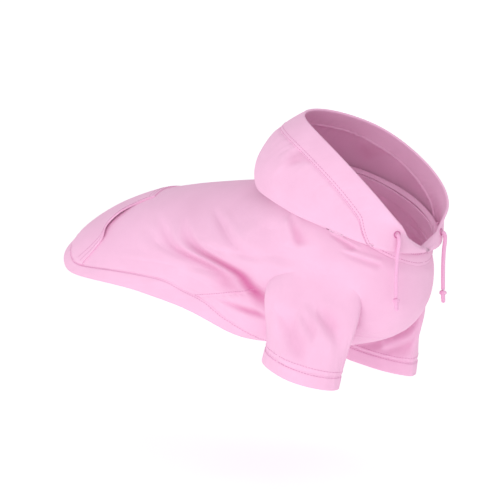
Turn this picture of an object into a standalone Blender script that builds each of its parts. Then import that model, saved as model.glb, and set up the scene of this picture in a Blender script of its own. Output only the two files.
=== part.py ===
"""Dog hoodie: a fleece pullover for a small dog, kept in the form that it has when worn.

Metres, +X towards the head, +Y the dog's left, +Z up. The origin is the point on the dog's back, over the
withers, that the hoodie rests on. Every cloth piece is an open surface with a wall of cloth added inwards.
"""

import math

import bpy
import numpy as np
from mathutils import Vector

# Driving dimensions of the main tube
BODY_LENGTH = 0.400
BODY_DEPTH = 0.153
BODY_HALF_WIDTH = 0.080
CLOTH = 0.002
BENT_GAP = 0.0007
BODY_RUN = 0.5 * BODY_LENGTH
HEM_WIDTH = 0.0150
HEM_CLOTH = 0.0030
HEM_PROUD = 0.0004

# Driving dimensions of the hood
HOOD_LENGTH = 0.160
HOOD_HEIGHT = 0.073
HOOD_HALF_WIDTH = 0.0755
CASING_WIDTH = 0.0290
CASING_CLOTH = 0.0026
CASING_PROUD = 0.0003
NECK_BAND_CLOTH = 0.0026
NECK_BAND_PROUD = 0.0006
NECK_BAND_GAP = 0.0012
HOOD_SQUARE = 0.03
HOOD_GAP = 0.0017
HOOD_POINT_ANGLE = 146.25
HOOD_POINT_REACH = 26
HOOD_TIP_SHARE = 0.5
VEE_DROP = 0.013
VEE_HALF_WIDTH = 0.040
VEE_PLACE = 0.45
VEE_REACH = 0.30

# Driving dimensions of the sleeves
CUFF_HALF_LENGTH = 0.0420
CUFF_HALF_WIDTH = 0.0310
CUFF_INNER_SHARE = 0.4
CUFF_WIDTH = 0.0125
CUFF_CLOTH = 0.0028
CUFF_PROUD = 0.0004
SLEEVE_FLARE = 1.0
SLEEVE_FOLLOW = 0.7
CUFF_TILTS = {-1: math.radians(15), 1: math.radians(8)}

# Driving dimensions of the drawcords and their eyelets
CORD_DIAMETER = 0.0038
KNOT_RADIUS = 0.0034
TAIL_LENGTH = 0.0062
KNOT_GAP = 0.0003
EYELET_RADIUS = 0.0035
EYELET_THREAD = 0.0010
EYELET_PLACE = 0.71
EYELET_ANGLES = {-1: 149, 1: 157}
EYELET_LIFT = 0.0010

# Rings of the main tube, from the neck seam to the tail: top, side and bottom of each.
# x as shares of BODY_LENGTH, z of BODY_DEPTH, the half width of BODY_HALF_WIDTH; the last column squares the ring.
BODY_RINGS = (
    # top_x, top_z, side_x, side_z, half_width, bottom_x, bottom_z, square
    (0.020, 0.020, 0.214, -0.100, 0.800, 0.412, -0.428, 0.00),
    (-0.030, 0.008, 0.168, -0.275, 0.910, 0.418, -0.500, 0.00),
    (-0.090, -0.004, 0.118, -0.430, 0.985, 0.405, -0.690, 0.00),
    (-0.165, -0.028, 0.048, -0.520, 1.010, 0.340, -0.880, 0.01),
    (-0.255, -0.062, -0.050, -0.570, 1.010, 0.212, -0.985, 0.02),
    (-0.355, -0.120, -0.162, -0.620, 0.990, 0.050, -1.000, 0.03),
    (-0.455, -0.220, -0.288, -0.680, 0.975, -0.112, -0.965, 0.05),
    (-0.525, -0.325, -0.405, -0.730, 0.930, -0.262, -0.940, 0.07),
    (-0.565, -0.430, -0.500, -0.780, 0.820, -0.375, -0.930, 0.08),
)

# The free edge of the hem: angle round the ring from the spine, and how many rings down it lies there.
HEM_LINE = (
    # angle, row
    (0, 8.00),
    (45, 8.00),
    (66, 7.95),
    (74, 7.70),
    (82, 7.05),
    (91, 6.20),
    (106, 5.43),
    (123, 5.20),
    (150, 5.12),
    (180, 5.10),
)

# Rings of the hood, from the neck seam over the rolled lip to the free edge: back, side and front of each.
# x as shares of HOOD_LENGTH, z of HOOD_HEIGHT, the half width of HOOD_HALF_WIDTH.
HOOD_RINGS = (
    # back_x, back_z, side_x, side_z, half_width, front_x, front_z
    (0.088, 0.120, 0.556, -0.080, 0.800, 1.022, -0.720),
    (0.022, 0.150, 0.525, -0.030, 0.890, 1.038, -0.705),
    (-0.045, 0.060, 0.500, -0.275, 0.973, 1.050, -0.720),
    (-0.070, 0.220, 0.500, -0.120, 1.000, 1.056, -0.680),
    (-0.050, 0.450, 0.538, 0.070, 0.967, 1.053, -0.560),
    (0.038, 0.740, 0.644, 0.220, 0.887, 1.038, -0.500),
    (0.219, 1.000, 0.812, 0.300, 0.795, 1.012, -0.480),
)

# Folds of the cloth on the main tube: side (-1 the dog's right), then the start, the pull and the end of a bent
# line, each as a share of the way from neck to hem and an angle from the spine, then the width as a share of
# BODY_HALF_WIDTH and the depth as a share of CLOTH.
BODY_FOLDS = (
    # side, share_0, angle_0, share_1, angle_1, share_2, angle_2, width, depth
    (-1, 0.606, 41, 0.530, 72, 0.770, 101, 0.19, 1.3),
    (-1, 0.483, 43, 0.400, 78, 0.770, 112, 0.19, 1.7),
    (-1, 0.375, 38, 0.310, 62, 0.425, 84, 0.20, 0.9),
    (-1, 0.100, 112, 0.115, 126, 0.150, 142, 0.16, 0.7),
    (1, 0.560, 44, 0.500, 74, 0.740, 103, 0.20, 1.3),
    (1, 0.430, 40, 0.370, 70, 0.620, 98, 0.20, 1.4),
    (1, 0.120, 108, 0.130, 124, 0.170, 140, 0.16, 0.7),
)

# Shares of a fold's length over which it rises at its start and fades at its end
FOLD_FADE_IN = 0.5
FOLD_FADE_OUT = 0.15

# Armholes, belly panel and pocket on the main tube: shares of the way from neck to hem, and angles in degrees.
ARM_SHARE = 0.478
ARM_SHARE_REACH = 0.165
ARM_ANGLE = 118
ARM_ANGLE_REACH = 22
ARM_BLEND = 2.0
ARM_RADIUS = 0.040
ARM_GAP = 0.0007
ARM_INNER_SHARE = 0.9
PANEL_SHARE = ARM_SHARE + ARM_SHARE_REACH
PANEL_ANGLE = 100
PANEL_RUN_SHARE = 0.8
POCKET_LINE = (
    # share, half_angle
    (0.655, 22),
    (0.727, 28),
    (0.785, 40),
    (0.810, 51),
    (0.855, 58),
    (0.905, 63),
    (0.985, 68),
)

# Sleeve ends, by side: centre as shares of BODY_LENGTH, BODY_HALF_WIDTH and BODY_DEPTH.
CUFF_CENTRES = {-1: (0.189, 0.815, -1.020), 1: (0.180, 0.830, -1.115)}

# Routes of the two free cords, by side, chosen point by point from the eyelet to the knot
CORD_ROUTES = {
    -1: (
        (0.1623, -0.0411, -0.0322),
        (0.1637, -0.0417, -0.0337),
        (0.1644, -0.0421, -0.0356),
        (0.1647, -0.0422, -0.0377),
        (0.1644, -0.0423, -0.0425),
        (0.1636, -0.0425, -0.0485),
        (0.1630, -0.0427, -0.0555),
        (0.1626, -0.0428, -0.0630),
        (0.1624, -0.0429, -0.0710),
        (0.1623, -0.0429, -0.0790),
        (0.1624, -0.0430, -0.0860),
        (0.1625, -0.0430, -0.0905),
    ),
    1: (
        (0.1659, 0.0314, -0.0380),
        (0.1674, 0.0317, -0.0393),
        (0.1683, 0.0319, -0.0411),
        (0.1686, 0.0320, -0.0432),
        (0.1682, 0.0322, -0.0480),
        (0.1673, 0.0324, -0.0540),
        (0.1667, 0.0326, -0.0610),
        (0.1663, 0.0328, -0.0680),
        (0.1661, 0.0330, -0.0760),
        (0.1661, 0.0331, -0.0840),
        (0.1662, 0.0332, -0.0900),
        (0.1662, 0.0332, -0.0935),
    ),
}
CORD_STEP = 0.0028

# Number of cells in each stretch of a grid
BODY_ROWS = (7, 8, 9)
BODY_COLUMNS = (12, 1, 5, 5)
FOLD_PIECES = 8
HOOD_COLUMNS = 16
HOOD_ROWS = 10
CASING_ROWS = 5
SLEEVE_ROWS = 6
KNOT_SIDES = 10
POCKET_ROWS = 9
POCKET_COLUMNS = 14
POCKET_GAP = 0.0012
POCKET_GAPE = 0.003
POCKET_SLIT_ROW = 0.20
POCKET_SLIT_REACH = 0.22

PINK = (0.90, 0.50, 0.74)
DEEP_PINK = (0.62, 0.20, 0.42)
CORD_PINK = (0.93, 0.56, 0.79)


def clear_scene():
    for obj in list(bpy.data.objects):
        bpy.data.objects.remove(obj)


def smooth_rows(rows, place):
    """Rows of a table at fractional row numbers: a Catmull-Rom curve through each column."""
    table = np.array(rows, float)
    last = len(table) - 1
    place = np.clip(place, 0, last)
    first = np.minimum(place.astype(int), last - 1)
    t = (place - first)[..., None]
    before = table[np.maximum(first - 1, 0)]
    after = table[np.minimum(first + 2, last)]
    here, there = table[first], table[first + 1]
    slope_in = np.where((first > 0)[..., None], (there - before) / 2, there - here)
    slope_out = np.where((first < last - 1)[..., None], (after - here) / 2, there - here)
    return (
        here * (2 * t**3 - 3 * t**2 + 1)
        + slope_in * (t**3 - 2 * t**2 + t)
        + there * (3 * t**2 - 2 * t**3)
        + slope_out * (t**3 - t**2)
    )


def smooth_step(value):
    value = np.clip(value, 0, 1)
    return value * value * (3 - 2 * value)


def ring_points(top, side, bottom, half_width, square, angle):
    """A ring through its top, its side and its bottom: an ellipse bent towards its side and squared a little."""
    down = (np.cos(angle) - square * np.cos(3 * angle)) / (1 - square)
    out = (np.sin(angle) + square * np.sin(3 * angle)) / (1 - square)
    middle = (top + bottom) / 2
    flat = middle + (top - bottom) / 2 * down[..., None] + (side - middle) * (out**2)[..., None]
    return np.stack([flat[..., 0], half_width * out, flat[..., 1]], -1)


def body_ring(row, angle):
    table = smooth_rows(BODY_RINGS, row)
    flat = np.array([BODY_LENGTH, BODY_DEPTH])
    return ring_points(
        table[..., 0:2] * flat,
        table[..., 2:4] * flat,
        table[..., 5:7] * flat,
        table[..., 4] * BODY_HALF_WIDTH,
        table[..., 7],
        angle,
    )


def hem_edge(angle):
    """The row of the hem's free edge at an angle."""
    line = np.array(HEM_LINE, float)
    angle = np.abs((angle + math.pi) % (2 * math.pi) - math.pi)
    place = np.interp(angle, np.radians(line[:, 0]), np.arange(len(line)))
    return smooth_rows(line, place)[..., 1]


def hem_row(angle, width=0.0):
    """The row of the hem's free edge, or of a line that lies a width ahead of it, square to the hem."""
    edge = hem_edge(angle)
    step = 0.02
    turn = body_ring(hem_edge(angle + step), angle + step) - body_ring(hem_edge(angle - step), angle - step)
    turn /= np.linalg.norm(turn, axis=-1, keepdims=True)
    pace = (body_ring(edge - step, angle) - body_ring(edge, angle)) / step
    return edge - width / np.linalg.norm(np.cross(pace, turn), axis=-1)


def round_armhole(share, angle):
    """Draws the square of grid cells at each armhole into an ellipse, and fades out beyond it."""
    side = np.where(angle < 0, -1.0, 1.0)
    p = (share - ARM_SHARE) / ARM_SHARE_REACH
    q = (np.abs(angle) - math.radians(ARM_ANGLE)) / math.radians(ARM_ANGLE_REACH)
    square = np.maximum(np.maximum(np.abs(p), np.abs(q)), 1e-9)
    circle = np.maximum(np.hypot(p, q), 1e-9)
    fade = smooth_step((ARM_BLEND - square) / (ARM_BLEND - 1))
    pull = 1 + fade * (square / circle - 1)
    share = ARM_SHARE + p * pull * ARM_SHARE_REACH
    angle = side * (math.radians(ARM_ANGLE) + q * pull * math.radians(ARM_ANGLE_REACH))
    return share, angle


def body_plain(share, angle):
    """The main tube's outer surface without its folds. Share 0 is the neck seam and 1 the seam of the hem."""
    return body_ring(share * hem_row(angle, HEM_WIDTH), angle)


def surface_normal(surface, share, angle, step=0.004):
    along = surface(share + step, angle) - surface(share - step, angle)
    around = surface(share, angle + step) - surface(share, angle - step)
    normal = np.cross(around, along)
    return normal / np.maximum(np.linalg.norm(normal, axis=-1, keepdims=True), 1e-12)


def fold_depth(share, angle):
    """How far the folds lift or sink the tube: each is a valley with a ridge on both sides, fading at its ends."""
    lift = np.zeros(np.broadcast(share, angle).shape)
    spread = np.array([BODY_RUN, BODY_HALF_WIDTH])
    t = np.linspace(0, 1, FOLD_PIECES + 1)[:, None]
    for side, *line, width, depth in BODY_FOLDS:
        start, pull, end = (np.array([line[i], math.radians(line[i + 1])]) * spread for i in (0, 2, 4))
        path = start * (1 - t) ** 2 + pull * 2 * t * (1 - t) + end * t**2
        x, y = share * spread[0], side * angle * spread[1]
        nearest = np.full(lift.shape, np.inf)
        along = np.zeros(lift.shape)
        for i in range(FOLD_PIECES):
            run = path[i + 1] - path[i]
            part = np.clip(((x - path[i, 0]) * run[0] + (y - path[i, 1]) * run[1]) / (run @ run), 0, 1)
            away = np.hypot(x - path[i, 0] - part * run[0], y - path[i, 1] - part * run[1])
            along = np.where(away < nearest, (i + part) / FOLD_PIECES, along)
            nearest = np.minimum(away, nearest)
        across = nearest / (width * BODY_HALF_WIDTH)
        ends = smooth_step(along / FOLD_FADE_IN) * smooth_step((1 - along) / FOLD_FADE_OUT)
        lift += depth * CLOTH * ends * (2 * across**2 - 1) * np.exp(-(across**2))
    return lift


def body_surface(share, angle, out=0.0):
    lift = fold_depth(share, angle) + out
    return body_plain(share, angle) + surface_normal(body_plain, share, angle) * lift[..., None]


def hood_surface(place, angle):
    """The hood's outer surface. Place 0 is its seam at the neck and 1 its free edge; angle 0 is the back."""
    table = smooth_rows(HOOD_RINGS, place * (len(HOOD_RINGS) - 1))
    flat = np.array([HOOD_LENGTH, HOOD_HEIGHT])
    points = ring_points(
        table[..., 0:2] * flat,
        table[..., 2:4] * flat,
        table[..., 5:7] * flat,
        table[..., 4] * HOOD_HALF_WIDTH,
        np.full(table.shape[:-1], HOOD_SQUARE),
        angle,
    )
    vee = np.maximum(0, 1 - np.abs(points[..., 1]) / VEE_HALF_WIDTH) * (np.abs(angle) > math.pi / 2)
    points[..., 2] -= VEE_DROP * vee * smooth_step((place - VEE_PLACE) / VEE_REACH)
    return points


def casing_place(angle, width=CASING_WIDTH):
    """The place on the hood one casing's width from its free edge, running down to the neck seam in front."""
    places = np.linspace(0, 1, 61)
    line = hood_surface(places[:, None], angle[None, :])
    steps = np.linalg.norm(np.diff(line, axis=0), axis=-1)
    from_edge = np.cumsum(steps[::-1], axis=0)[::-1]
    from_edge = np.concatenate([from_edge, np.zeros((1, len(angle)))])
    start = np.array([np.interp(-width, -from_edge[:, i], places) for i in range(len(angle))])
    front = 1 - (math.radians(HOOD_POINT_ANGLE) - np.abs(angle)) / math.radians(HOOD_POINT_REACH)
    front = smooth_step(front)
    return start * (1 - front)


def make_material(name, colour, roughness):
    material = bpy.data.materials.new(name)
    material.use_nodes = True
    shader = material.node_tree.nodes["Principled BSDF"]
    shader.inputs["Base Color"].default_value = (*colour, 1)
    shader.inputs["Roughness"].default_value = roughness
    shader.inputs["Metallic"].default_value = 0
    return material


def add_object(name, mesh, colour, roughness=0.9):
    obj = bpy.data.objects.new(name, mesh)
    bpy.data.collections["dog_hoodie"].objects.link(obj)
    mesh.materials.append(make_material(name, colour, roughness))
    mesh.shade_smooth()
    return obj


def grid_object(name, points, colour, keep=None, wrap=False, wall=None):
    """A sheet of cells over an array of points, with a wall of cloth inwards; wrap joins its last column to the first."""
    rows, columns = points.shape[:2]
    number = np.arange(rows * columns).reshape(rows, columns)
    if wrap:
        number = np.concatenate([number, number[:, :1]], axis=1)
    cells = np.stack([number[:-1, :-1], number[:-1, 1:], number[1:, 1:], number[1:, :-1]], -1)
    if keep is not None:
        cells = cells[keep]
    cells = cells.reshape(-1, 4)
    used, cells = np.unique(cells, return_inverse=True)
    mesh = bpy.data.meshes.new(name)
    mesh.from_pydata(points.reshape(-1, 3)[used].tolist(), [], cells.reshape(-1, 4).tolist())
    mesh.validate()
    obj = add_object(name, mesh, colour)
    if wall:
        cloth = obj.modifiers.new("cloth", "SOLIDIFY")
        cloth.thickness = wall
        cloth.offset = -1
    return obj


def stretches(knots, counts):
    """Evenly spaced values within each stretch between two knots."""
    parts = [np.linspace(a, b, n, endpoint=False) for a, b, n in zip(knots, knots[1:], counts)]
    return np.append(np.concatenate(parts), knots[-1])


def body_grid():
    shares = stretches((0, ARM_SHARE - ARM_SHARE_REACH, ARM_SHARE + ARM_SHARE_REACH, 1), BODY_ROWS)
    knots = (0, ARM_ANGLE - ARM_ANGLE_REACH, PANEL_ANGLE, ARM_ANGLE + ARM_ANGLE_REACH, 180)
    half = np.radians(stretches(knots, BODY_COLUMNS))
    return shares, np.concatenate([-half[:0:-1], half[:-1]])


def make_body():
    shares, angles = body_grid()
    middle_share = (shares[1:] + shares[:-1]) / 2
    wrapped = np.append(angles, math.pi)
    middle_angle = np.degrees(np.abs(wrapped[1:] + wrapped[:-1]) / 2)
    in_arm = (np.abs(middle_share - ARM_SHARE) < ARM_SHARE_REACH)[:, None] & (
        np.abs(middle_angle - ARM_ANGLE) < ARM_ANGLE_REACH
    )
    in_panel = (middle_share > PANEL_SHARE)[:, None] & (middle_angle > PANEL_ANGLE)
    share, angle = round_armhole(*np.meshgrid(shares, angles, indexing="ij"))
    points = body_surface(share, angle)
    grid_object("body", points, PINK, keep=~(in_arm | in_panel), wrap=True, wall=CLOTH)


def make_belly_panel():
    shares, angles = body_grid()
    half = angles[angles > 0]
    half = np.append(half[np.degrees(half) > PANEL_ANGLE - 1e-6], math.pi)
    half[0] += BENT_GAP / BODY_HALF_WIDTH
    row = shares[shares > PANEL_SHARE - 1e-9].copy()
    row[0] += BENT_GAP / (PANEL_RUN_SHARE * BODY_RUN)
    turned = np.concatenate([half, (2 * math.pi - half)[-2::-1]])
    share, angle = np.meshgrid(row, turned, indexing="ij")
    angle = np.where(angle > math.pi, angle - 2 * math.pi, angle)
    share, angle = round_armhole(share, angle)
    grid_object("belly_panel", body_surface(share, angle), PINK, wall=CLOTH)


def make_hem_band():
    _, angles = body_grid()
    gap = BENT_GAP / BODY_RUN
    steps = np.linspace(0, 1, 3)[:, None]
    seam = hem_row(angles, HEM_WIDTH)
    edge = hem_row(angles)
    row = (seam * (1 + gap))[None] * (1 - steps) + edge[None] * steps
    angle = np.broadcast_to(angles, row.shape)

    def strip(row, angle):
        return body_ring(row, angle)

    points = body_ring(row, angle)
    fold = fold_depth(row / seam, angle) + HEM_PROUD
    points = points + surface_normal(strip, row, angle) * fold[..., None]
    grid_object("hem_band", points, PINK, wrap=True, wall=HEM_CLOTH)


def make_pocket():
    """The kangaroo pocket: its front edge crosses the back, its slanting hand slits and its sides run to the hem."""
    line = np.array(POCKET_LINE, float)
    rows = np.linspace(0, 1, POCKET_ROWS + 1)
    across = np.linspace(-1, 1, POCKET_COLUMNS + 1)
    place = rows * (len(line) - 1)
    share = np.interp(place, np.arange(len(line)), line[:, 0])[:, None] + 0 * across
    reach = np.radians(np.interp(place, np.arange(len(line)), line[:, 1]))
    angle = reach[:, None] * across
    slit = np.exp(-(((rows - POCKET_SLIT_ROW) / POCKET_SLIT_REACH) ** 2))[:, None] * np.abs(across) ** 6
    out = POCKET_GAP + CLOTH + POCKET_GAPE * slit
    grid_object("pocket", body_surface(share, angle, out), PINK, wall=CLOTH)


def hood_angles():
    return np.linspace(-math.pi, math.pi, 2 * HOOD_COLUMNS, endpoint=False)


def make_neck_band():
    """The strip between the neck seam and the hood, a little proud of both."""
    angles = hood_angles()
    low = body_surface(np.full(angles.shape, 0.0), angles)
    high = hood_surface(np.full(angles.shape, 0.0), angles)
    rise = high - low
    rise /= np.linalg.norm(rise, axis=1, keepdims=True)
    low = low + rise * BENT_GAP
    high = high - rise * NECK_BAND_GAP
    steps = np.linspace(0, 1, 3)[:, None, None]
    points = high[None] * (1 - steps) + low[None] * steps
    around = np.roll(points, -1, axis=1) - np.roll(points, 1, axis=1)
    out = np.cross(around, np.broadcast_to(-rise, points.shape))
    out /= np.linalg.norm(out, axis=2, keepdims=True)
    grid_object("neck_band", points + out * NECK_BAND_PROUD, PINK, wrap=True, wall=NECK_BAND_CLOTH)


def hood_normal(place, angle):
    return -surface_normal(hood_surface, place, angle)


def make_hood():
    """The hood from its seam at the neck to the casing; in front it runs out in a point on each side."""
    columns = hood_angles()
    inside = columns[np.abs(columns) < math.radians(HOOD_POINT_ANGLE)]
    tip = abs(inside[0]) + HOOD_TIP_SHARE * (math.radians(HOOD_POINT_ANGLE) - abs(inside[0]))
    angles = np.concatenate([[-tip], inside, [tip]])
    end = np.interp(angles, columns, casing_place(columns, CASING_WIDTH + HOOD_GAP))
    steps = np.linspace(0, 1, HOOD_ROWS + 1)
    place = end[None] * steps[:, None]
    angle = np.broadcast_to(angles, place.shape)
    grid_object("hood", hood_surface(place[::-1], angle), PINK, wall=CLOTH)


def make_hood_casing():
    """The turned front edge of the hood, a channel all round the opening."""
    angles = hood_angles()
    start = casing_place(angles)
    steps = np.linspace(0, 1, CASING_ROWS + 1)[:, None]
    place = start + (1 - start) * steps
    angle = np.broadcast_to(angles, place.shape)
    points = hood_surface(place[::-1], angle) + hood_normal(place[::-1], angle) * CASING_PROUD
    grid_object("hood_casing", points, PINK, wrap=True, wall=CASING_CLOTH)


def armhole_ring(side, shrink):
    """The armhole's edge, a point for each grid line that meets it, drawn in towards its centre by a gap."""
    shares, angles = body_grid()
    p = (shares - ARM_SHARE) / ARM_SHARE_REACH
    q = (np.degrees(angles) - ARM_ANGLE) / ARM_ANGLE_REACH
    p = p[np.abs(p) < 1 + 1e-6]
    q = q[np.abs(q) < 1 + 1e-6]
    loop_p = np.concatenate([p[:-1], np.full(len(q) - 1, 1.0), p[:0:-1], np.full(len(q) - 1, -1.0)])
    loop_q = np.concatenate([np.full(len(p) - 1, -1.0), q[:-1], np.full(len(p) - 1, 1.0), q[:0:-1]])
    size = np.hypot(loop_p, loop_q)
    share = ARM_SHARE + loop_p / size * shrink * ARM_SHARE_REACH
    angle = math.radians(ARM_ANGLE) + loop_q / size * shrink * math.radians(ARM_ANGLE_REACH)
    return body_surface(share, side * angle)


def cuff_frame(side):
    """The centre of the cuff's seam, its forward and outward directions and the sleeve's own direction."""
    share_x, share_y, share_z = CUFF_CENTRES[side]
    centre = np.array([share_x * BODY_LENGTH, side * share_y * BODY_HALF_WIDTH, share_z * BODY_DEPTH])
    tilt = CUFF_TILTS[side]
    down = np.array([-math.sin(tilt), 0.0, -math.cos(tilt)])
    ahead = np.array([math.cos(tilt), 0.0, -math.sin(tilt)])
    return centre, ahead, np.array([0.0, side, 0.0]), down


def sleeve_surface(side, steps):
    """Rings from the armhole to the cuff's seam: each line leaves the body along its cloth or down the leg."""
    ring = armhole_ring(side, 1 - ARM_GAP / ARM_RADIUS)
    inner = armhole_ring(side, ARM_INNER_SHARE)
    centre, ahead, outward, down = cuff_frame(side)
    middle = (ring.max(axis=0) + ring.min(axis=0)) / 2
    axis = (centre - middle) / np.linalg.norm(centre - middle)
    inwards = inner - ring
    inwards /= np.linalg.norm(inwards, axis=1, keepdims=True)
    along = smooth_step((inwards @ axis) / SLEEVE_FOLLOW)[:, None]
    turn_out = np.cross(np.roll(ring, -1, axis=0) - np.roll(ring, 1, axis=0), inwards)
    turn_out /= np.linalg.norm(turn_out, axis=1, keepdims=True)
    turn_out *= np.sign((turn_out * (ring - ring.mean(axis=0) * [1, 0, 1])).sum(axis=1).sum())
    leave = inwards * along + (axis + SLEEVE_FLARE * turn_out) * (1 - along)
    leave /= np.linalg.norm(leave, axis=1, keepdims=True)
    half = (ring.max(axis=0) - ring.min(axis=0)) / 2
    turn = np.arctan2((ring - middle)[:, 2] / half[2], (ring - middle)[:, 0] / half[0])
    end = (
        centre
        + CUFF_HALF_LENGTH * np.cos(turn)[:, None] * ahead
        + CUFF_HALF_WIDTH * np.maximum(np.sin(turn), CUFF_INNER_SHARE * np.sin(turn))[:, None] * outward
    )
    reach = np.linalg.norm(end - ring, axis=1, keepdims=True)
    t = steps[:, None, None]
    points = (
        ring * (2 * t**3 - 3 * t**2 + 1)
        + leave * reach * (t**3 - 2 * t**2 + t)
        + end * (3 * t**2 - 2 * t**3)
        + down * reach * (t**3 - t**2)
    )
    return points if side < 0 else points[:, ::-1]


def make_sleeve(name, side):
    points = sleeve_surface(side, np.linspace(0, 1, SLEEVE_ROWS + 1))
    grid_object(name, points, PINK, wrap=True, wall=CLOTH)


def make_cuff(name, side):
    """The doubled hem of a sleeve, going on from the sleeve's last ring."""
    end = sleeve_surface(side, np.array([1.0]))[0]
    centre, _, _, down = cuff_frame(side)
    out = end - centre
    out /= np.linalg.norm(out, axis=1, keepdims=True)
    drop = np.array([BENT_GAP, CUFF_WIDTH / 2, CUFF_WIDTH])[:, None, None]
    points = end + out * CUFF_PROUD + down * drop
    grid_object(name, points, PINK, wrap=True, wall=CUFF_CLOTH)


def smooth_route(route, step):
    """Points a step apart on a smooth curve through a route's own points."""
    points = smooth_rows(route, np.linspace(0, len(route) - 1, 600))
    length = np.append(0, np.cumsum(np.linalg.norm(np.diff(points, axis=0), axis=1)))
    places = np.linspace(0, length[-1], round(length[-1] / step) + 1)
    return np.stack([np.interp(places, length, points[:, i]) for i in range(3)], -1)


def make_drawcord(name, side):
    points = smooth_route(CORD_ROUTES[side], CORD_STEP)
    curve = bpy.data.curves.new(name, "CURVE")
    curve.dimensions = "3D"
    spline = curve.splines.new("POLY")
    spline.points.add(len(points) - 1)
    for point, place in zip(spline.points, points):
        point.co = (*place, 1)
    curve.bevel_depth = CORD_DIAMETER / 2
    curve.bevel_resolution = 2
    curve.use_fill_caps = True
    obj = bpy.data.objects.new(name, curve)
    bpy.data.collections["dog_hoodie"].objects.link(obj)
    curve.materials.append(make_material(name, CORD_PINK, 0.8))


def make_knot(name, side):
    """A turned knot with the short tail under it, right under the end of its cord."""
    cord = CORD_DIAMETER / 2
    flat = math.sqrt(KNOT_RADIUS**2 - cord**2)
    ball = np.linspace(math.asin(cord / KNOT_RADIUS), math.pi - math.asin(cord / KNOT_RADIUS), 7)
    tip = np.linspace(0, math.pi / 2, 4)
    profile = [(0.0, flat)]
    profile += [(KNOT_RADIUS * math.sin(a), KNOT_RADIUS * math.cos(a)) for a in ball]
    profile += [(cord * math.cos(a), -KNOT_RADIUS - TAIL_LENGTH + cord - cord * math.sin(a)) for a in tip[:-1]]
    profile += [(0.0, -KNOT_RADIUS - TAIL_LENGTH)]
    mesh = bpy.data.meshes.new(name)
    lines = [(i, i + 1) for i in range(len(profile) - 1)]
    mesh.from_pydata([(x, 0, z) for x, z in profile], lines, [])
    obj = add_object(name, mesh, CORD_PINK)
    end = np.array(CORD_ROUTES[side][-1])
    obj.location = end - np.array([0, 0, flat + KNOT_GAP])
    turn = obj.modifiers.new("turn", "SCREW")
    turn.angle = 2 * math.pi
    turn.steps = KNOT_SIDES
    turn.render_steps = KNOT_SIDES
    turn.use_merge_vertices = True
    turn.merge_threshold = 0.00001


def make_eyelet(name, side):
    """The stitched ring of an eyelet, lying on the casing round the cord's exit."""
    place, angle = np.array([EYELET_PLACE]), np.array([side * math.radians(EYELET_ANGLES[side])])
    out = Vector(hood_normal(place, angle)[0])
    centre = Vector(hood_surface(place, angle)[0]) + out * (EYELET_LIFT + EYELET_THREAD / 2)
    bpy.ops.mesh.primitive_torus_add(
        major_radius=EYELET_RADIUS,
        minor_radius=EYELET_THREAD / 2,
        major_segments=16,
        minor_segments=6,
        location=centre,
        rotation=out.to_track_quat("Z", "Y").to_euler(),
    )
    obj = bpy.context.object
    obj.name = name
    obj.data.name = name
    for collection in obj.users_collection:
        collection.objects.unlink(obj)
    bpy.data.collections["dog_hoodie"].objects.link(obj)
    obj.data.materials.append(make_material(name, DEEP_PINK, 0.8))
    obj.data.shade_smooth()


def main():
    clear_scene()
    collection = bpy.data.collections.new("dog_hoodie")
    bpy.context.scene.collection.children.link(collection)
    make_body()
    make_belly_panel()
    make_hem_band()
    make_pocket()
    make_neck_band()
    make_hood()
    make_hood_casing()
    for side_name, side in (("right", -1), ("left", 1)):
        make_sleeve("sleeve_" + side_name, side)
        make_cuff("cuff_" + side_name, side)
        make_eyelet("eyelet_" + side_name, side)
        make_drawcord("drawcord_" + side_name, side)
        make_knot("knot_" + side_name, side)


main()
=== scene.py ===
"""Dog hoodie: a soft pink fleece pullover for a small dog, shown in the form that it has when worn.

Metres, +X forwards, +Y to the left, +Z up. Each section below makes one piece or a group of like pieces, in
the order in which they are put together: the cords first, then the main tube with its belly panel, its hem
and its pocket, the hood with its casing and eyelets, the neck band, and last the sleeves and cuffs.
"""

import math

import bpy
import numpy as np
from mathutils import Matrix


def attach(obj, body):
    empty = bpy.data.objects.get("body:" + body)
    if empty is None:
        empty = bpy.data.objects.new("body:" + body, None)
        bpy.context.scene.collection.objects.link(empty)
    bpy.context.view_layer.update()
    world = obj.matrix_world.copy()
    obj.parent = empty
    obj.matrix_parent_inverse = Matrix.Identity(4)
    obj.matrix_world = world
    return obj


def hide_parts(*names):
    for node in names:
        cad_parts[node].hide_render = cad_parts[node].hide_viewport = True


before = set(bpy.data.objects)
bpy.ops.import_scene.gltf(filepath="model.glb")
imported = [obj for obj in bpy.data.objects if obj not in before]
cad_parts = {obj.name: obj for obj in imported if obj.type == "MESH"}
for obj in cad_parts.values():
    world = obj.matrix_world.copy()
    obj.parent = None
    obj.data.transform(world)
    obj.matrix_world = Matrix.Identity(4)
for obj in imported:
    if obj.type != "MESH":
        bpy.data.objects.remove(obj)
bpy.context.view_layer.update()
scene = bpy.context.scene

# Camera: the photographer stands off the hoodie's right front, a little above it, with a long lens.
# The view is written as the way to the object's origin and how far the frame's middle lies from it.
CAMERA_AZIMUTH = math.radians(36)
CAMERA_ELEVATION = math.radians(9)
CAMERA_DISTANCE = 2.4
FRAME_WIDTH = 0.4854
FRAME_ACROSS = -0.0291
FRAME_UP = -0.0612
SENSOR_WIDTH = 36.0


def look_axes(azimuth, elevation):
    """Unit vectors right, up and back of a view. Azimuth 0 looks along +Y, elevation is above level."""
    sin_a, cos_a = math.sin(azimuth), math.cos(azimuth)
    sin_e, cos_e = math.sin(elevation), math.cos(elevation)
    right = np.array([cos_a, sin_a, 0.0])
    up = np.array([-sin_e * sin_a, sin_e * cos_a, cos_e])
    back = np.array([sin_a * cos_e, -cos_a * cos_e, sin_e])
    return right, up, back


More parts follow.
